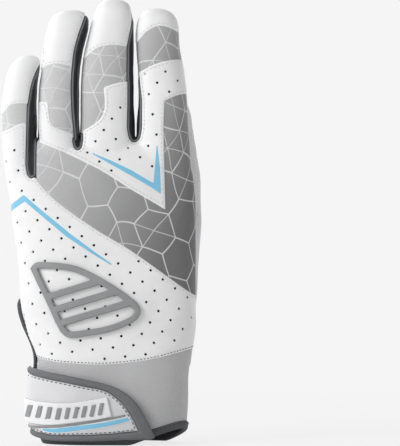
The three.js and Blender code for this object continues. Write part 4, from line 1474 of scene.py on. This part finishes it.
finished(
    "bar_ridge",
    panel_mesh(hand_form, both(inside(RIDGE), back_side(STRAP_END)), RIDGE_TOP, roll=0.4 * MM,
               drop_height=0.5 * MM, fine=2),
    rubber, 0.7 * MM, body="strap", slot="moulded_rubber",
)
STRAP_STRIPE = curved([(48, 424.6), (64, 424), (96, 420.4), (128, 414)], 3) + curved(
    [(131, 417), (98, 424.4), (64, 428), (50, 426.6)], 3)
finished(
    "stripe_rim",
    panel_mesh(hand_form, both(grown(inside(STRAP_STRIPE), 0.55 * MM), back_side(STRAP_END)), STRIPE_RIM_TOP,
               roll=0.3 * MM, drop_height=0.3 * MM, fine=2),
    pale_rubber, 0.5 * MM, body="strap", slot="moulded_rubber",
)
finished(
    "stripe_strap",
    panel_mesh(hand_form, both(inside(STRAP_STRIPE), back_side(STRAP_END)), STRAP_STRIPE_TOP, roll=0.3 * MM,
               drop_height=0.1 * MM, fine=2),
    film, 0.4 * MM, body="strap", nodes=["strap_stripe"], slot="blue_film",
)
HOOK_PAD = [(62, 388), (98, 392), (116, 400), (130, 424), (64, 427)]
LOOP_PAD = [(58, 384), (100, 386), (124, 396), (138, 426), (60, 431)]
finished(
    "hook_patch",
    panel_mesh(hand_form, both(inside(HOOK_PAD), back_side()), HOOK_TOP, roll=0.3 * MM, drop_height=0.2 * MM),
    side_knit, 0.8 * MM, body="strap", nodes=["hook_pad"], slot="hook_fastener",
)
finished(
    "loop_patch",
    panel_mesh(hand_form, both(inside(LOOP_PAD), back_side()), LOOP_TOP, roll=0.5 * MM, drop_height=0.3 * MM),
    cuff_knit, 0.8 * MM, body="hand", nodes=["loop_pad"], slot="loop_fastener",
)
ANCHOR_TOP, ANCHOR_BOTTOM = 368.5, 423.5
anchor_side = both(
    palm_side(3.35 * MM), back_side(10 * MM), inside([(-30, 300), (100, 300), (100, 460), (-30, 460)]),
)
anchor_face = both(anchor_side, below_row(ANCHOR_TOP + 5), above_row(ANCHOR_BOTTOM - 5))
finished(
    "strap_root", panel_mesh(hand_form, anchor_face, ANCHOR_FACE_TOP, fine=1),
    strap_skin, 2.9 * MM, body="hand", nodes=["strap_anchor"], slot="cuff_fabric",
)
anchor_edges = both(
    anchor_side, below_row(ANCHOR_TOP), above_row(ANCHOR_BOTTOM), outside(grown(anchor_face, 0.2 * MM)),
)
finished(
    "strap_root_edges",
    panel_mesh(hand_form, anchor_edges, ANCHOR_EDGE_TOP, roll=1.3 * MM, drop_height=1.5 * MM, fine=1),
    binding_weave, 3.3 * MM, body="hand", nodes=["strap_anchor"], slot="binding",
)

# Inside: lining, elastic and a bare label
LINING_TOP = -1.9 * MM
lining_field = both(above_row(350), below_row(188))
finished(
    "inner_lining", panel_mesh(hand_form, both(lining_field, back_side(0.2 * MM)), LINING_TOP), lining_cloth,
    0.6 * MM, body="hand", nodes=["back_lining"], slot="lining",
)
finished(
    "inner_elastic",
    panel_mesh(hand_form, both(above_row(386), below_row(374), palm_side(0)), LINING_TOP, 0.5 * MM, 0.2 * MM),
    lining_cloth, 0.7 * MM, body="hand", nodes=["wrist_elastic"], slot="lining",
)
finished(
    "inner_label",
    panel_mesh(hand_form, both(inside([(92, 398), (116, 398), (116, 414), (92, 414)]), back_side()),
               LINING_TOP, 0.3 * MM, 0.1 * MM),
    thread, 0.4 * MM, body="hand", nodes=["size_label"], slot="lining",
)

# Stitching
OVER = LEATHER_TOP + 0.04 * MM
facing_back = back_side(-1.5 * MM)
sew(hand_form, lower_field, OVER, keep=both(facing_back, above_row(340)))
sew(hand_form, lower_field, OVER, inset=1.1 * MM, group="wrist_thread", pitch=1.9 * MM, length=1.3 * MM,
    width=0.5 * MM, keep=both(facing_back, below_row(344)))
sew(hand_form, knuckle_field, OVER, keep=facing_back)
for field in cap_fields.values():
    sew(hand_form, field, OVER, keep=facing_back)
sew(hand_form, palm_field, OVER, keep=palm_side(3 * MM))
make_stitches("thread", thread)
make_stitches("wrist_thread", dark_thread, body="hand")
sew(thumb_form, both(knurled_thumb, above_fold), OVER, group="thumb_thread", keep=palm_side(23 * MM))
make_stitches("thumb_thread", thread, joint=thumb_joint)

# Camera at the picture's distance, aimed at the middle of its frame
WIDTH, HEIGHT = 400, 446
camera_data = bpy.data.cameras.new("camera")
camera = bpy.data.objects.new("camera", camera_data)
bpy.context.collection.objects.link(camera)
bpy.context.scene.camera = camera
DISTANCE = 1.6
camera.location = (at_x(WIDTH / 2), -DISTANCE, at_z(HEIGHT / 2))
camera.rotation_euler = (math.radians(90), 0, 0)
camera_data.lens = camera_data.sensor_width * DISTANCE / (HEIGHT * PIXEL)
camera_data.clip_end = 200

# Stage and light
PALE = "f5f5f5"
STAGE_SIZE = 60
ROOM_LIGHT = 0.38
AIM = Vector((0, 0, 0.12))
LAMPS = (
    ("key", (-1.5, -0.95, 1.0), 0.9, 21.5),
    ("fill", (1.0, -1.3, 0.4), 1.2, 1.4),
    ("palm_key", (-1.0, 1.1, 1.1), 0.9, 13),
    ("palm_fill", (1.2, 1.1, 0.5), 1.2, 2.5),
)
floor_bm = bmesh.new()
bmesh.ops.create_grid(floor_bm, x_segments=1, y_segments=1, size=STAGE_SIZE)
floor_mesh = bpy.data.meshes.new("floor")
floor_bm.to_mesh(floor_mesh)
floor_bm.free()
stage_floor = bpy.data.objects.new("floor", floor_mesh)
bpy.context.collection.objects.link(stage_floor)
floor_paint = Paint("floor", Roughness=0.9, Base_Color=shade(PALE))
bright = floor_paint.tree.nodes.new("ShaderNodeEmission")
bright.inputs[0].default_value = shade(PALE)
seen = floor_paint.node("ShaderNodeLightPath", output="Is Camera Ray")
seen = seen + floor_paint.node("ShaderNodeLightPath", output="Is Glossy Ray")
distance = floor_paint.node("ShaderNodeVectorMath", {"operation": "LENGTH"},
                            {0: floor_paint.node("ShaderNodeTexCoord", output="Object")}, "Value")
faded = floor_paint.node("ShaderNodeMapRange", {"interpolation_type": "SMOOTHSTEP"},
                         {"Value": distance, "From Min": 0.12, "From Max": 0.75,
                          "To Min": 0.86, "To Max": 1.0})
mixed = floor_paint.tree.nodes.new("ShaderNodeMixShader")
floor_paint.join(mixed.inputs[0], seen * faded)
floor_paint.tree.links.new(floor_paint.shader.outputs[0], mixed.inputs[1])
floor_paint.tree.links.new(bright.outputs[0], mixed.inputs[2])
floor_paint.tree.links.new(mixed.outputs[0], floor_paint.output.inputs[0])
floor_mesh.materials.append(floor_paint.material)

world = bpy.data.worlds.new("world")
bpy.context.scene.world = world
world.use_nodes = True
sky = world.node_tree
sky.nodes.clear()
light = sky.nodes.new("ShaderNodeBackground")
light.inputs[0].default_value = (1, 1, 1, 1)
light.inputs[1].default_value = ROOM_LIGHT
shown = sky.nodes.new("ShaderNodeBackground")
shown.inputs[0].default_value = shade(PALE)
path = sky.nodes.new("ShaderNodeLightPath")
mix = sky.nodes.new("ShaderNodeMixShader")
out = sky.nodes.new("ShaderNodeOutputWorld")
either_ray = sky.nodes.new("ShaderNodeMath")
sky.links.new(path.outputs["Is Camera Ray"], either_ray.inputs[0])
sky.links.new(path.outputs["Is Glossy Ray"], either_ray.inputs[1])
sky.links.new(either_ray.outputs[0], mix.inputs[0])
sky.links.new(light.outputs[0], mix.inputs[1])
sky.links.new(shown.outputs[0], mix.inputs[2])
sky.links.new(mix.outputs[0], out.inputs[0])

for name, place, size, watts in LAMPS:
    data = bpy.data.lights.new(name, "AREA")
    data.energy = watts
    data.size = size
    obj = bpy.data.objects.new(name, data)
    bpy.context.collection.objects.link(obj)
    obj.location = place
    obj.rotation_euler = (AIM - Vector(place)).to_track_quat("-Z", "Y").to_euler()

bpy.context.scene.view_settings.view_transform = "Standard"
